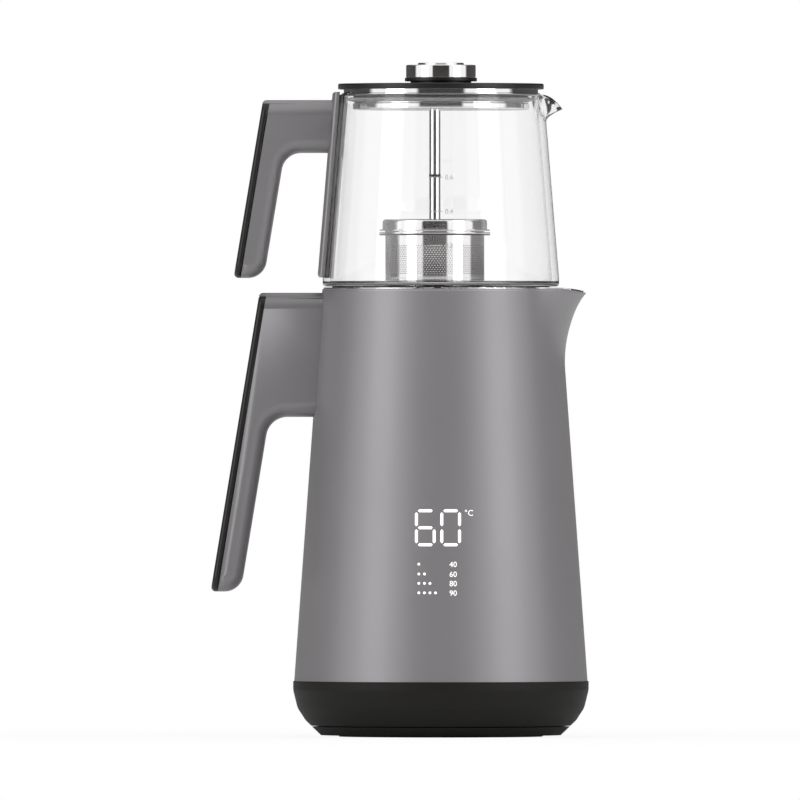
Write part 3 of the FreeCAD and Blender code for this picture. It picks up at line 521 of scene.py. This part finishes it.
@dataclass
class Kettle:
    """The kettle: its shell with a spout, its skirt, display, tank and handle."""

    wall: Cone = field(default_factory=lambda: Cone(31.1, 82.15, 250.6, 66.36))
    thickness: float = 2.0
    spout_start: float = 205.0
    spout_reach: float = 13.3
    spout_full: float = 247.8
    spout_half_angle: float = 39.0
    dip_start_x: float = 62.0
    dip_end_x: float = 84.0
    dip_low: float = 240.0
    dip: float = 2.9
    skirt_foot: float = 6.1
    digit_low: float = 107.7
    digit_height: float = 18.95
    digit_width: float = 9.9
    bar: float = 1.65
    rows: tuple[float, ...] = (96.9, 91.4, 86.2, 80.9)

    def build(self, shop: Workshop) -> None:
        """Make and dress the kettle's pieces."""
        shop.place(self.shell(), "kettle", SATIN_GREY, "outer_shell")
        shop.place(self.rim_band(), "kettle", POLISHED)
        shop.place(self.skirt(), "kettle", BLACK_NYLON, "base_skirt")
        shop.place(self.display(), "kettle", LIT_WINDOW)
        for node, finish in (("inner_tank", BRUSHED), ("mouth_ring", POLISHED), ("lower_handle", HANDLE_GREY),
                             ("lower_handle_strip", BLACK_ABS), ("underside_cover", BLACK_NYLON),
                             ("coupler_socket", BLACK_ABS), ("heater_plate", CAST),
                             ("heating_element", BRUSHED), ("temperature_probe", BRUSHED),
                             ("control_board", BOARD), ("display_module", BLACK_ABS),
                             ("handle_bracket", BRUSHED), ("handle_screws", BRUSHED),
                             ("button_switch", BLACK_ABS), ("button_spring", BRUSHED)):
            shop.refine(node, "kettle", finish)
        shop.refine("power_button", "button", BLACK_ABS)

    def raise_spout(self, point: Vector) -> Vector:
        """Draw a point of the plain cone out into the spout and dip the rim there."""
        rise = max(0.0, point.z - self.spout_start)
        angle = math.atan2(point.y, point.x)
        half = math.radians(self.spout_half_angle)
        radius = math.hypot(point.x, point.y)
        if rise and abs(angle) < half:
            share = rise / (self.spout_full - self.spout_start)
            radius += self.spout_reach * share ** 2 * math.cos(math.pi * angle / (2 * half)) ** 2
        x = radius * math.cos(angle)
        over = max(0.0, x - self.dip_start_x) / (self.dip_end_x - self.dip_start_x)
        near_rim = min(1.0, max(0.0, (point.z - self.dip_low) / (self.wall.top_z - self.dip_low)))
        drop = self.dip * over ** 2 * near_rim
        return Vector((x, radius * math.sin(angle), point.z - drop))

    def shell(self) -> bpy.types.Object:
        """Spin the double-sided wall and draw out its spout."""
        wall = self.wall
        inner = wall.top_radius - self.thickness
        outer_low = (wall.low_radius, wall.low_z)
        outer_mid = (wall.radius(self.spout_start), self.spout_start)
        outline = [outer_low] + run(outer_low, outer_mid, 6)
        rim = softened([(wall.radius(250.0), 250.0, 0), (wall.top_radius, wall.top_z, 0.5),
                        (inner, wall.top_z, 0.4), (inner, 249.9, 0)], closed=False)
        outline += run(outer_mid, rim[0], 24) + rim[1:]
        inner_mid = (wall.radius(self.spout_start) - self.thickness, self.spout_start)
        inner_low = (wall.low_radius - self.thickness, wall.low_z)
        outline += run(rim[-1], inner_mid, 20) + run(inner_mid, inner_low, 4)
        piece = lathe("satin_shell", outline, steps=224)
        move_points(piece, self.raise_spout)
        return piece

    def rim_band(self) -> bpy.types.Object:
        """Spin the bright chamfer that edges the shell's rim."""
        wall = self.wall
        low = wall.top_z - 1.0
        top = wall.top_z + 0.04
        edge = [(wall.radius(low) + 0.06, low, 0), (wall.top_radius - 0.7, top, 0.15),
                (wall.top_radius - 1.3, top, 0), (wall.top_radius - 1.0, low, 0)]
        band = lathe("bright_rim_band", softened(edge), steps=224)
        move_points(band, self.raise_spout)
        return band

    def skirt(self) -> bpy.types.Object:
        """Spin the bowl-shaped skirt that closes the kettle's lower edge."""
        top = self.wall.low_z
        outer = [(72.7, self.skirt_foot, 0.5), (75.85, 9.2, 5.0), (80.25, 15.96, 9.0), (82.74, 26.0, 10.0),
                 (82.74, top, 0.5)]
        inner = [(80.3, top, 0), (80.2, 27.0, 4.0), (73.6, 10.4, 3.0), (71.1, 8.5, 0),
                 (71.1, self.skirt_foot, 0)]
        return lathe("bowl_skirt", softened(outer + inner, steps=8), steps=192)

    def digit(self, marks: Print, left: float, bars: Iterable[str]) -> None:
        """Add one seven-bar digit.

        Args:
            marks: What is being printed.
            left: The digit's left edge.
            bars: Names of the bars that are lit.
        """
        low = self.digit_low
        mid = low + self.digit_height / 2
        top = low + self.digit_height
        right = left + self.digit_width
        gap = 0.8
        places = {
            "top": ((left + gap, top), (right - gap, top)), "middle": ((left + gap, mid), (right - gap, mid)),
            "bottom": ((left + gap, low), (right - gap, low)),
            "upper_left": ((left, top - gap), (left, mid + gap)),
            "upper_right": ((right, top - gap), (right, mid + gap)),
            "lower_left": ((left, mid - gap), (left, low + gap)),
            "lower_right": ((right, mid - gap), (right, low + gap))}
        for name in bars:
            marks.segment(*places[name], self.bar)

    def display(self) -> bpy.types.Object:
        """Make the lit digits and the four preset rows."""
        marks = Print(self.wall, lift=0.06, thickness=0.3)
        around = ("top", "bottom", "upper_left", "lower_left", "lower_right")
        self.digit(marks, -13.75, around + ("middle",))
        self.digit(marks, 0.4, around + ("upper_right",))
        marks.word("°C", 13.0, 123.9, 3.3)
        for number, (z, text) in enumerate(zip(self.rows, ("40", "60", "80", "90")), start=1):
            marks.word(text, 4.6, z - 1.6, 3.1)
            for dot in range(number):
                marks.dot(-12.4 + dot * 3.1, z, 0.75)
        return marks.build("lit_display")


@dataclass
class Teapot:
    """The glass jug with its printed marks, gasket, strap and handle."""

    wall: Cone = field(default_factory=lambda: Cone(254.6, 66.3, 359.3, 57.75))
    thickness: float = 3.8
    lip_start: float = 343.5
    lip_reach: float = 10.8
    lip_half_angle: float = 15.0
    lip_low: float = 340.0
    lip_drop: float = 8.1
    drop_start_x: float = 57.0
    drop_length: float = 11.6
    jug_foot: float = 249.4
    jug_step: float = 252.0
    jug_floor: float = 254.0
    marks_z: tuple[float, ...] = (312.8, 293.7, 274.7)

    def build(self, shop: Workshop) -> None:
        """Make and dress the teapot's pieces."""
        shop.place(self.jug(), "teapot", CLEAR_GLASS, "glass_jug")
        shop.place(self.marks(), "teapot", GLASS_INK)
        for node, finish in (("base_gasket", SILICONE), ("strap_pad", PALE_SILICONE),
                             ("handle_strap", SATIN_GREY), ("upper_handle", HANDLE_GREY),
                             ("upper_handle_strip", BLACK_ABS), ("strap_screws", BRUSHED)):
            shop.refine(node, "teapot", finish)

    def draw_lip(self, point: Vector) -> Vector:
        """Draw a point of the plain rim out and down into the pouring lip."""
        share = max(0.0, point.z - self.lip_start) / (self.wall.top_z - self.lip_start)
        angle = math.atan2(point.y, point.x)
        half = math.radians(self.lip_half_angle)
        if not share or abs(angle) >= half:
            return point
        swell = math.cos(math.pi * angle / (2 * half)) ** 2
        radius = math.hypot(point.x, point.y) + self.lip_reach * share ** 2 * swell
        rim_x = (self.wall.top_radius + self.lip_reach * swell) * math.cos(angle)
        over = min(1.0, max(0.0, rim_x - self.drop_start_x) / self.drop_length)
        return Vector((radius * math.cos(angle), radius * math.sin(angle),
                       point.z - self.lip_drop * over ** 2 * share))

    def jug(self) -> bpy.types.Object:
        """Spin the thick glass and draw out its lip."""
        wall = self.wall
        inner_top = wall.top_radius - self.thickness
        inner_low = wall.low_radius - self.thickness
        start = softened([(0, self.jug_foot, 0), (55.8, self.jug_foot, 1.0), (55.8, self.jug_step, 0.4),
                          (66.1, self.jug_step, 1.7), (wall.radius(256.0), 256.0, 0)],
                         closed=False, steps=7)
        mid = (wall.radius(self.lip_low), self.lip_low)
        rim = softened([(wall.radius(358.0), 358.0, 0), (wall.top_radius, wall.top_z, 0.95),
                        (inner_top, wall.top_z, 0.95), (inner_top + 0.1, 358.0, 0)], closed=False, steps=6)
        outline = start + run(start[-1], mid, 6) + run(mid, rim[0], 14) + rim[1:]
        inner_mid = (mid[0] - self.thickness, self.lip_low)
        foot = softened([(wall.radius(262.0) - self.thickness, 262.0, 0), (inner_low, self.jug_floor, 1.0),
                         (0, self.jug_floor, 0)], closed=False, steps=6)
        outline += run(rim[-1], inner_mid, 14) + run(inner_mid, foot[0], 6) + foot[1:]
        piece = lathe("blown_jug", outline, closed=False, steps=224, angle=60.0)
        move_points(piece, self.draw_lip)
        return piece

    def marks(self) -> bpy.types.Object:
        """Make the printed level marks."""
        marks = Print(self.wall, lift=0.03, thickness=0.06)
        for z, text in zip(self.marks_z, ("0.6", "0.4", "0.2")):
            marks.bar(-3.0, z, 7.2, 0.45)
            marks.word(text, 2.2, z - 1.3, 2.7)
        return marks.build("level_marks")


@dataclass
class Lid:
    """The lid with its knob and the rod and cap that hang from it."""

    bore: float = 2.4
    plate_radius: float = 57.6
    plate_low: float = 362.3
    plate_top: float = 365.5
    knob_low: float = 368.8
    insert_low: float = 350.8
    rod_radius: float = 3.1
    rod_joint: float = 314.4
    cap_top: float = 289.5
    cap_thickness: float = 1.4

    def build(self, shop: Workshop) -> None:
        """Make and dress the lid's pieces."""
        shop.place(self.plate(), "lid", LID_ENAMEL, "lid_plate")
        shop.place(self.insert(), "lid", POLISHED, "lid_insert")
        shop.place(self.knob_base(), "lid", LID_ENAMEL, "knob_base")
        shop.place(self.knob(), "lid", POLISHED, "knob")
        for node, finish in (("lid_seal", PALE_SILICONE), ("knob_screw", BRUSHED)):
            shop.refine(node, "lid", finish)
        for name, outline in (("rod_upper", self.upper_rod()), ("rod_lower", self.lower_rod())):
            rod = lathe(name + "_turned", outline, closed=False, centre_x=INFUSER_X, steps=64)
            shop.place(rod, "lid", POLISHED, name)
        shop.place(self.cap(), "lid", SATIN_STEEL, "infuser_cap")
        shop.place(self.joint_ring(), "lid", SILICONE)

    def plate(self) -> bpy.types.Object:
        """Spin the flat plate."""
        return lathe("lid_disc", softened([
            (self.bore, self.plate_low, 0), (self.plate_radius, self.plate_low, 0.5),
            (self.plate_radius, self.plate_top, 0.9), (self.bore, self.plate_top, 0)]))

    def insert(self) -> bpy.types.Object:
        """Spin the cup under the plate, with the groove of its seal and the step on the glass."""
        outline = softened([
            (0, self.insert_low, 0), (49.3, self.insert_low, 0.9), (49.3, 354.2, 0.4), (48.3, 354.6, 0),
            (48.3, 357.6, 0), (49.3, 358.2, 0.2), (49.3, 359.3, 0.2), (55.6, 359.3, 0.2),
            (55.6, 360.0, 0.2), (54.4, 360.2, 0.1), (54.4, self.plate_low, 0), (53.2, self.plate_low, 0),
            (53.2, 360.7, 0), (47.9, 360.7, 0), (46.7, 358.6, 0), (46.7, 352.2, 0), (6.0, 352.2, 0),
            (6.0, self.plate_low, 0), (self.bore, self.plate_low, 0), (self.bore, 356.0, 0), (0, 356.0, 0)],
            closed=False)
        return lathe("lid_cup", outline, closed=False)

    def knob_base(self) -> bpy.types.Object:
        """Spin the dark collar under the knob."""
        return lathe("knob_collar", softened([
            (self.bore, self.plate_top, 0), (17.0, self.plate_top, 0), (17.0, 366.8, 0.3),
            (20.2, 366.8, 0.4), (20.2, self.knob_low, 0.4), (self.bore, self.knob_low, 0)]))

    def knob(self) -> bpy.types.Object:
        """Spin the knob with its raised button."""
        outline = softened([
            (self.bore, self.knob_low, 0), (19.5, self.knob_low, 0.35), (19.5, 376.0, 0.7),
            (13.0, 376.0, 0.2), (12.7, 377.2, 0.5), (0, 377.2, 0), (0, 373.2, 0), (self.bore, 373.2, 0)],
            closed=False)
        return lathe("turned_knob", outline + [outline[0]], closed=False)

    def upper_rod(self) -> list[Point]:
        """Outline the rod that is fixed to the lid."""
        return softened([(0, self.rod_joint, 0), (self.rod_radius, self.rod_joint, 0.3),
                         (self.rod_radius, self.insert_low, 0), (0, self.insert_low, 0)], closed=False)

    def lower_rod(self) -> list[Point]:
        """Outline the rod that carries the cap, with the spigot at its joint."""
        foot = self.cap_top - self.cap_thickness
        neck = self.rod_radius - 1.0
        return softened([(0, foot, 0), (self.rod_radius, foot, 0), (self.rod_radius, 313.6, 0.3),
                         (neck, 313.6, 0), (neck, self.rod_joint, 0), (0, self.rod_joint, 0)], closed=False)

    def cap(self) -> bpy.types.Object:
        """Spin the pressed cap of the infuser."""
        seat = self.cap_top - self.cap_thickness
        outline = softened([
            (0, seat, 0), (self.rod_radius, seat, 0), (self.rod_radius, self.cap_top, 0.2),
            (29.3, self.cap_top, 2.0), (29.3, 283.8, 0.2), (30.9, 283.8, 0.3), (30.9, 282.8, 0.3),
            (28.5, 282.8, 0), (28.5, 287.0, 0.6), (27.6, 286.7, 0), (0, 286.7, 0)], closed=False)
        return lathe("pressed_cap", outline, closed=False, centre_x=INFUSER_X)

    def joint_ring(self) -> bpy.types.Object:
        """Spin the dark ring that covers the rod's joint."""
        sleeve = [(2.1, 313.6), (3.0, 313.6), (3.0, 312.8), (3.25, 312.8), (3.25, 314.7), (2.1, 314.7)]
        return lathe("rod_joint_ring", sleeve, centre_x=INFUSER_X, steps=64)


@dataclass
class Basket:
    """The perforated infuser basket."""

    radius: float = 27.7
    rim_radius: float = 31.1
    wall: float = 0.6
    low_z: float = 254.9
    band_low: float = 258.6
    band_high: float = 275.2
    rim_low: float = 281.2
    collar_top: float = 286.4
    holes_round: int = 108
    rows: int = 14
    hole: float = 0.4

    def build(self, shop: Workshop) -> None:
        """Make and dress the basket."""
        shop.place(self.basket(), "basket", SATIN_STEEL, "infuser_basket")
        # Painted shade: a thin ring of matt black silicone under the rim darkens the line below the flange,
        # where there is only shade and a dark reflection and no real seal.
        low = self.rim_low - 0.7
        inner = self.radius + 0.5
        outer = self.rim_radius - 0.1
        shade_line = softened([(inner, low, 0), (outer, low, 0.2), (outer, self.rim_low, 0),
                         (inner, self.rim_low, 0)])
        shop.place(lathe("basket_rim_painted_shade", shade_line, centre_x=INFUSER_X), "basket", SILICONE)

    def band(self) -> bpy.types.Object:
        """Make the holed band: one cell, repeated in staggered rows and rolled round the axis."""
        across = math.tau * self.radius / self.holes_round
        up = (self.band_high - self.band_low) / self.rows
        mesh = bpy.data.meshes.new("holed_band")
        shell = bmesh.new()
        ring = [(-1, -1), (0, -1), (1, -1), (1, 0), (1, 1), (0, 1), (-1, 1), (-1, 0)]
        for row in range(self.rows):
            for column in range(self.holes_round):
                centre_x = (column + (row % 2) / 2) * across
                centre_z = self.band_low + (row + 0.5) * up
                outer = [shell.verts.new((centre_x + a * across / 2, 0, centre_z + b * up / 2))
                         for a, b in ring]
                inner = [shell.verts.new((centre_x + self.hole * a / math.hypot(a, b), 0,
                                          centre_z + self.hole * b / math.hypot(a, b))) for a, b in ring]
                for index in range(8):
                    after = (index + 1) % 8
                    shell.faces.new((outer[index], outer[after], inner[after], inner[index]))
        for vertex in shell.verts:
            angle = vertex.co.x / self.radius
            vertex.co = Vector((self.radius * math.cos(angle) + INFUSER_X, self.radius * math.sin(angle),
                                vertex.co.z)) * MM
        shell.to_mesh(mesh)
        shell.free()
        return new_piece("holed_band", mesh)

    def basket(self) -> bpy.types.Object:
        """Join the holed band with the plain parts and give the sheet its thickness."""
        across = self.holes_round * 2
        floor = softened([(0, self.low_z, 0), (self.radius, self.low_z, 1.2),
                          (self.radius, self.band_low, 0)], closed=False)
        flange = [(self.radius, self.band_high), (self.radius, self.rim_low)]
        collar = [(self.radius, self.rim_low), (self.radius, self.collar_top)]
        plain = [lathe("basket_" + name, outline, closed=False, centre_x=INFUSER_X, steps=across)
                 for name, outline in (("floor", floor), ("flange", flange), ("collar", collar))]
        piece = joined([self.band()] + plain)
        piece.name = "pierced_basket"
        edit(piece, lambda: bpy.ops.mesh.remove_doubles(threshold=0.01 * MM),
             lambda: bpy.ops.mesh.normals_make_consistent(inside=False))
        wall = piece.modifiers.new("sheet", "SOLIDIFY")
        wall.thickness = self.wall * MM
        wall.offset = -1.0
        only(piece)
        bpy.ops.object.modifier_apply(modifier=wall.name)
        rim_top = self.rim_low + 1.0
        rim = softened([(self.radius, self.rim_low, 0), (self.rim_radius, self.rim_low, 0.3),
                        (self.rim_radius, rim_top, 0.3), (self.radius, rim_top, 0)])
        joined([piece, lathe("basket_rim", rim, centre_x=INFUSER_X)])
        smooth(piece, 32.0)
        return piece


@dataclass
class PowerBase:
    """The power base with its round connector."""

    def build(self, shop: Workshop) -> None:
        """Dress the base's pieces."""
        for node, body, finish in (
                ("base_shell", "power_base", BLACK_NYLON), ("base_bottom_cover", "power_base", BLACK_NYLON),
                ("foot_ring", "power_base", SILICONE), ("base_screws", "power_base", BRUSHED),
                ("connector_tower", "connector", BLACK_ABS), ("tower_contacts", "connector", BRASS)):
            shop.refine(node, body, finish)


@dataclass
class Studio:
    """A pale floor, a soft surround, two lamps and the camera; bearings are in degrees."""

    aim_x: float = -22.9
    aim_z: float = 188.4
    distance: float = 17.42
    lens: float = 1400.0
    floor_size: float = 60.0
    floor_gap: float = 0.00005
    shadow_near: float = 0.12
    shadow_far: float = 0.6
    turns_in_one_wall: float = 2.5
    turns_in_jug: float = 3.5
    open_strength: float = 1.03
    jug_strength: float = 1.15
    ceiling_shade: float = 0.95
    ceiling_from: float = 0.45
    ceiling_full: float = 0.8
    gap_edge: tuple[float, float] = (26.0, 30.0)
    wall_edge: tuple[float, float] = (88.0, 95.0)
    rear: float = 178.0
    lamp_bearing: float = 55.0
    lamp_reach: float = 1.5
    lamp_watts: float = 4.6
    lamp_width: float = 0.7
    lamp_height: float = 1.3
    lamp_z: float = 0.75
    lamp_aim_z: float = 0.2

    def build(self) -> None:
        """Set up the floor, the world, the lamps and the camera."""
        scene = bpy.context.scene
        scene.view_settings.view_transform = "Standard"
        self.floor()
        self.surround(scene)
        self.softbox("left_softbox", -self.lamp_bearing)
        self.softbox("right_softbox", self.lamp_bearing)
        self.camera(scene)

    def backdrop_share(self, tree: bpy.types.NodeTree, path: bpy.types.Node) -> bpy.types.NodeSocket:
        """Tell how far a ray sees the plain white backdrop.

        Args:
            tree: The tree that needs it.
            path: Its light path node.

        Returns:
            One for what the camera sees directly, through glass or by a turn inside one glass wall, and
            none after a reflection on anything else.
        """
        seen = add_node(tree, "ShaderNodeMath", {"operation": "MAXIMUM"},
                        {0: path.outputs["Is Camera Ray"], 1: path.outputs["Is Transmission Ray"]})
        direct = add_node(tree, "ShaderNodeMath", {"operation": "LESS_THAN", 1: 0.5},
                          {0: path.outputs["Glossy Depth"]})
        in_wall = add_node(tree, "ShaderNodeMath", {"operation": "LESS_THAN", 1: self.turns_in_one_wall},
                           {0: path.outputs["Transmission Depth"]})
        plain = add_node(tree, "ShaderNodeMath", {"operation": "MAXIMUM"},
                         {0: direct.outputs[0], 1: in_wall.outputs[0]})
        share = add_node(tree, "ShaderNodeMath", {"operation": "MULTIPLY"},
                         {0: seen.outputs[0], 1: plain.outputs[0]})
        return share.outputs[0]

    def floor(self) -> None:
        """Lay the pale floor."""
        bpy.ops.object.select_all(action="DESELECT")
        bpy.ops.mesh.primitive_plane_add(size=self.floor_size, location=(0, 0, -self.floor_gap))
        floor = bpy.context.active_object
        floor.name = "pale_floor"
        material = bpy.data.materials.new("pale_floor")
        material.use_nodes = True
        tree = material.node_tree
        tree.nodes.clear()
        path = add_node(tree, "ShaderNodeLightPath")
        matt = add_node(tree, "ShaderNodeBsdfDiffuse", {"Color": linear("#f2f2f2")})
        white = add_node(tree, "ShaderNodeEmission", {"Color": (1, 1, 1, 1), "Strength": 1.0})
        place = add_node(tree, "ShaderNodeTexCoord")
        reach = add_node(tree, "ShaderNodeVectorMath", {"operation": "LENGTH"}, {0: place.outputs["Object"]})
        fade = add_node(tree, "ShaderNodeMapRange", {
            "From Min": self.shadow_near, "From Max": self.shadow_far, "To Min": 0.9, "To Max": 1.0},
            {"Value": reach.outputs["Value"]})
        share = add_node(tree, "ShaderNodeMath", {"operation": "MULTIPLY"}, {
            0: self.backdrop_share(tree, path), 1: fade.outputs["Result"]})
        mix = add_node(tree, "ShaderNodeMixShader", links={
            0: share.outputs[0], 1: matt.outputs[0], 2: white.outputs[0]})
        add_node(tree, "ShaderNodeOutputMaterial", links={"Surface": mix.outputs[0]})
        floor.data.materials.append(material)

    def surround(self, scene: bpy.types.Scene) -> None:
        """Make the white surround, which metal sees with a dark gap ahead and a grey rear.

        Args:
            scene: The scene that gets the world.
        """
        world = bpy.data.worlds.new("soft_surround")
        scene.world = world
        world.use_nodes = True
        tree = world.node_tree
        tree.nodes.clear()
        path = add_node(tree, "ShaderNodeLightPath")
        place = add_node(tree, "ShaderNodeTexCoord")
        split = add_node(tree, "ShaderNodeSeparateXYZ", links={"Vector": place.outputs["Generated"]})
        away = add_node(tree, "ShaderNodeMath", {"operation": "MULTIPLY", 1: -1.0}, {0: split.outputs["Y"]})
        turn = add_node(tree, "ShaderNodeMath", {"operation": "ARCTAN2"},
                        {0: split.outputs["X"], 1: away.outputs[0]})
        size = add_node(tree, "ShaderNodeMath", {"operation": "ABSOLUTE"}, {0: turn.outputs[0]})
        share = add_node(tree, "ShaderNodeMath", {"operation": "DIVIDE", 1: math.pi}, {0: size.outputs[0]})
        open_bands = self.bands(tree, share.outputs[0], "#3c3a39", "#444241", "#585656")
        jug_bands = self.bands(tree, share.outputs[0], "#0c0b0b", "#5f5d5e", "#656364")
        far_in = add_node(tree, "ShaderNodeMath", {"operation": "GREATER_THAN", 1: self.turns_in_jug},
                          {0: path.outputs["Transmission Depth"]})
        bands = add_node(tree, "ShaderNodeMix", {"data_type": "RGBA"}, {0: far_in.outputs[0]})
        tree.links.new(open_bands, bands.inputs[6])
        tree.links.new(jug_bands, bands.inputs[7])
        rise = add_node(tree, "ShaderNodeMapRange", {
            "From Min": self.ceiling_from, "From Max": self.ceiling_full}, {"Value": split.outputs["Z"]})
        ceiling = add_node(tree, "ShaderNodeMix", {"data_type": "RGBA"}, {0: rise.outputs["Result"]})
        tree.links.new(bands.outputs[2], ceiling.inputs[6])
        ceiling.inputs[7].default_value = (self.ceiling_shade,) * 3 + (1.0,)
        strength = add_node(tree, "ShaderNodeMapRange", {
            "To Min": self.open_strength, "To Max": self.jug_strength}, {"Value": far_in.outputs[0]})
        shaped = add_node(tree, "ShaderNodeBackground", links={
            "Color": ceiling.outputs[2], "Strength": strength.outputs["Result"]})
        plain = add_node(tree, "ShaderNodeBackground", {"Color": (1, 1, 1, 1), "Strength": 1.0})
        mix = add_node(tree, "ShaderNodeMixShader", links={
            0: self.backdrop_share(tree, path), 1: shaped.outputs[0], 2: plain.outputs[0]})
        add_node(tree, "ShaderNodeOutputWorld", links={"Surface": mix.outputs[0]})

    def bands(self, tree: bpy.types.NodeTree, share: bpy.types.NodeSocket, front: str, side: str,
              rear: str) -> bpy.types.NodeSocket:
        """Paint the horizon: a dark gap ahead, a bright wall at each side and a darker rear.

        Args:
            tree: The world's node tree.
            share: How far a direction is turned from the camera, with one for straight behind.
            front: The gap's colour.
            side: The colour just past the bright wall.
            rear: The colour straight behind.

        Returns:
            The painted colour.
        """
        paint = add_node(tree, "ShaderNodeValToRGB", links={"Fac": share})
        ramp = paint.color_ramp
        ramp.elements[0].color = linear(front)
        ramp.elements[0].position = self.gap_edge[0] / 180
        ramp.elements[1].color = (1.0, 1.0, 1.0, 1.0)
        ramp.elements[1].position = self.gap_edge[1] / 180
        far_places = ((self.wall_edge[0], "#ffffff"), (self.wall_edge[1], side), (self.rear, rear))
        for degrees, colour in far_places:
            element = ramp.elements.new(degrees / 180)
            element.color = linear(colour)
        return paint.outputs["Color"]

    def softbox(self, name: str, bearing: float) -> None:
        """Hang a tall soft lamp beside the camera's axis.

        Args:
            name: The lamp's name.
            bearing: Its bearing from the camera's axis, in degrees.
        """
        lamp = bpy.data.lights.new(name, "AREA")
        lamp.shape = "RECTANGLE"
        lamp.size = self.lamp_width
        lamp.size_y = self.lamp_height
        lamp.energy = self.lamp_watts
        holder = bpy.data.objects.new(name, lamp)
        bpy.context.scene.collection.objects.link(holder)
        turn = math.radians(bearing)
        reach = self.lamp_reach
        holder.location = (reach * math.sin(turn), -reach * math.cos(turn), self.lamp_z)
        aim = Vector((0, 0, self.lamp_aim_z)) - holder.location
        holder.rotation_euler = aim.to_track_quat("-Z", "Y").to_euler()

    def camera(self, scene: bpy.types.Scene) -> None:
        """Stand the camera level with the object's middle, far off with a long lens."""
        lens = bpy.data.cameras.new("long_lens")
        lens.lens = self.lens
        lens.sensor_width = 36.0
        lens.clip_end = 60.0
        holder = bpy.data.objects.new("camera", lens)
        scene.collection.objects.link(holder)
        holder.location = (self.aim_x * MM, -self.distance, self.aim_z * MM)
        holder.rotation_euler = (math.pi / 2, 0, 0)
        scene.camera = holder


def main() -> None:
    """Build every sub-assembly around the frame."""
    logging.basicConfig(level=logging.INFO, format="%(message)s")
    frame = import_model()
    shop = Workshop(frame["nodes"])
    PowerBase().build(shop)
    Kettle().build(shop)
    Teapot().build(shop)
    Lid().build(shop)
    Basket().build(shop)
    Studio().build()


if __name__ == "__main__":
    main()
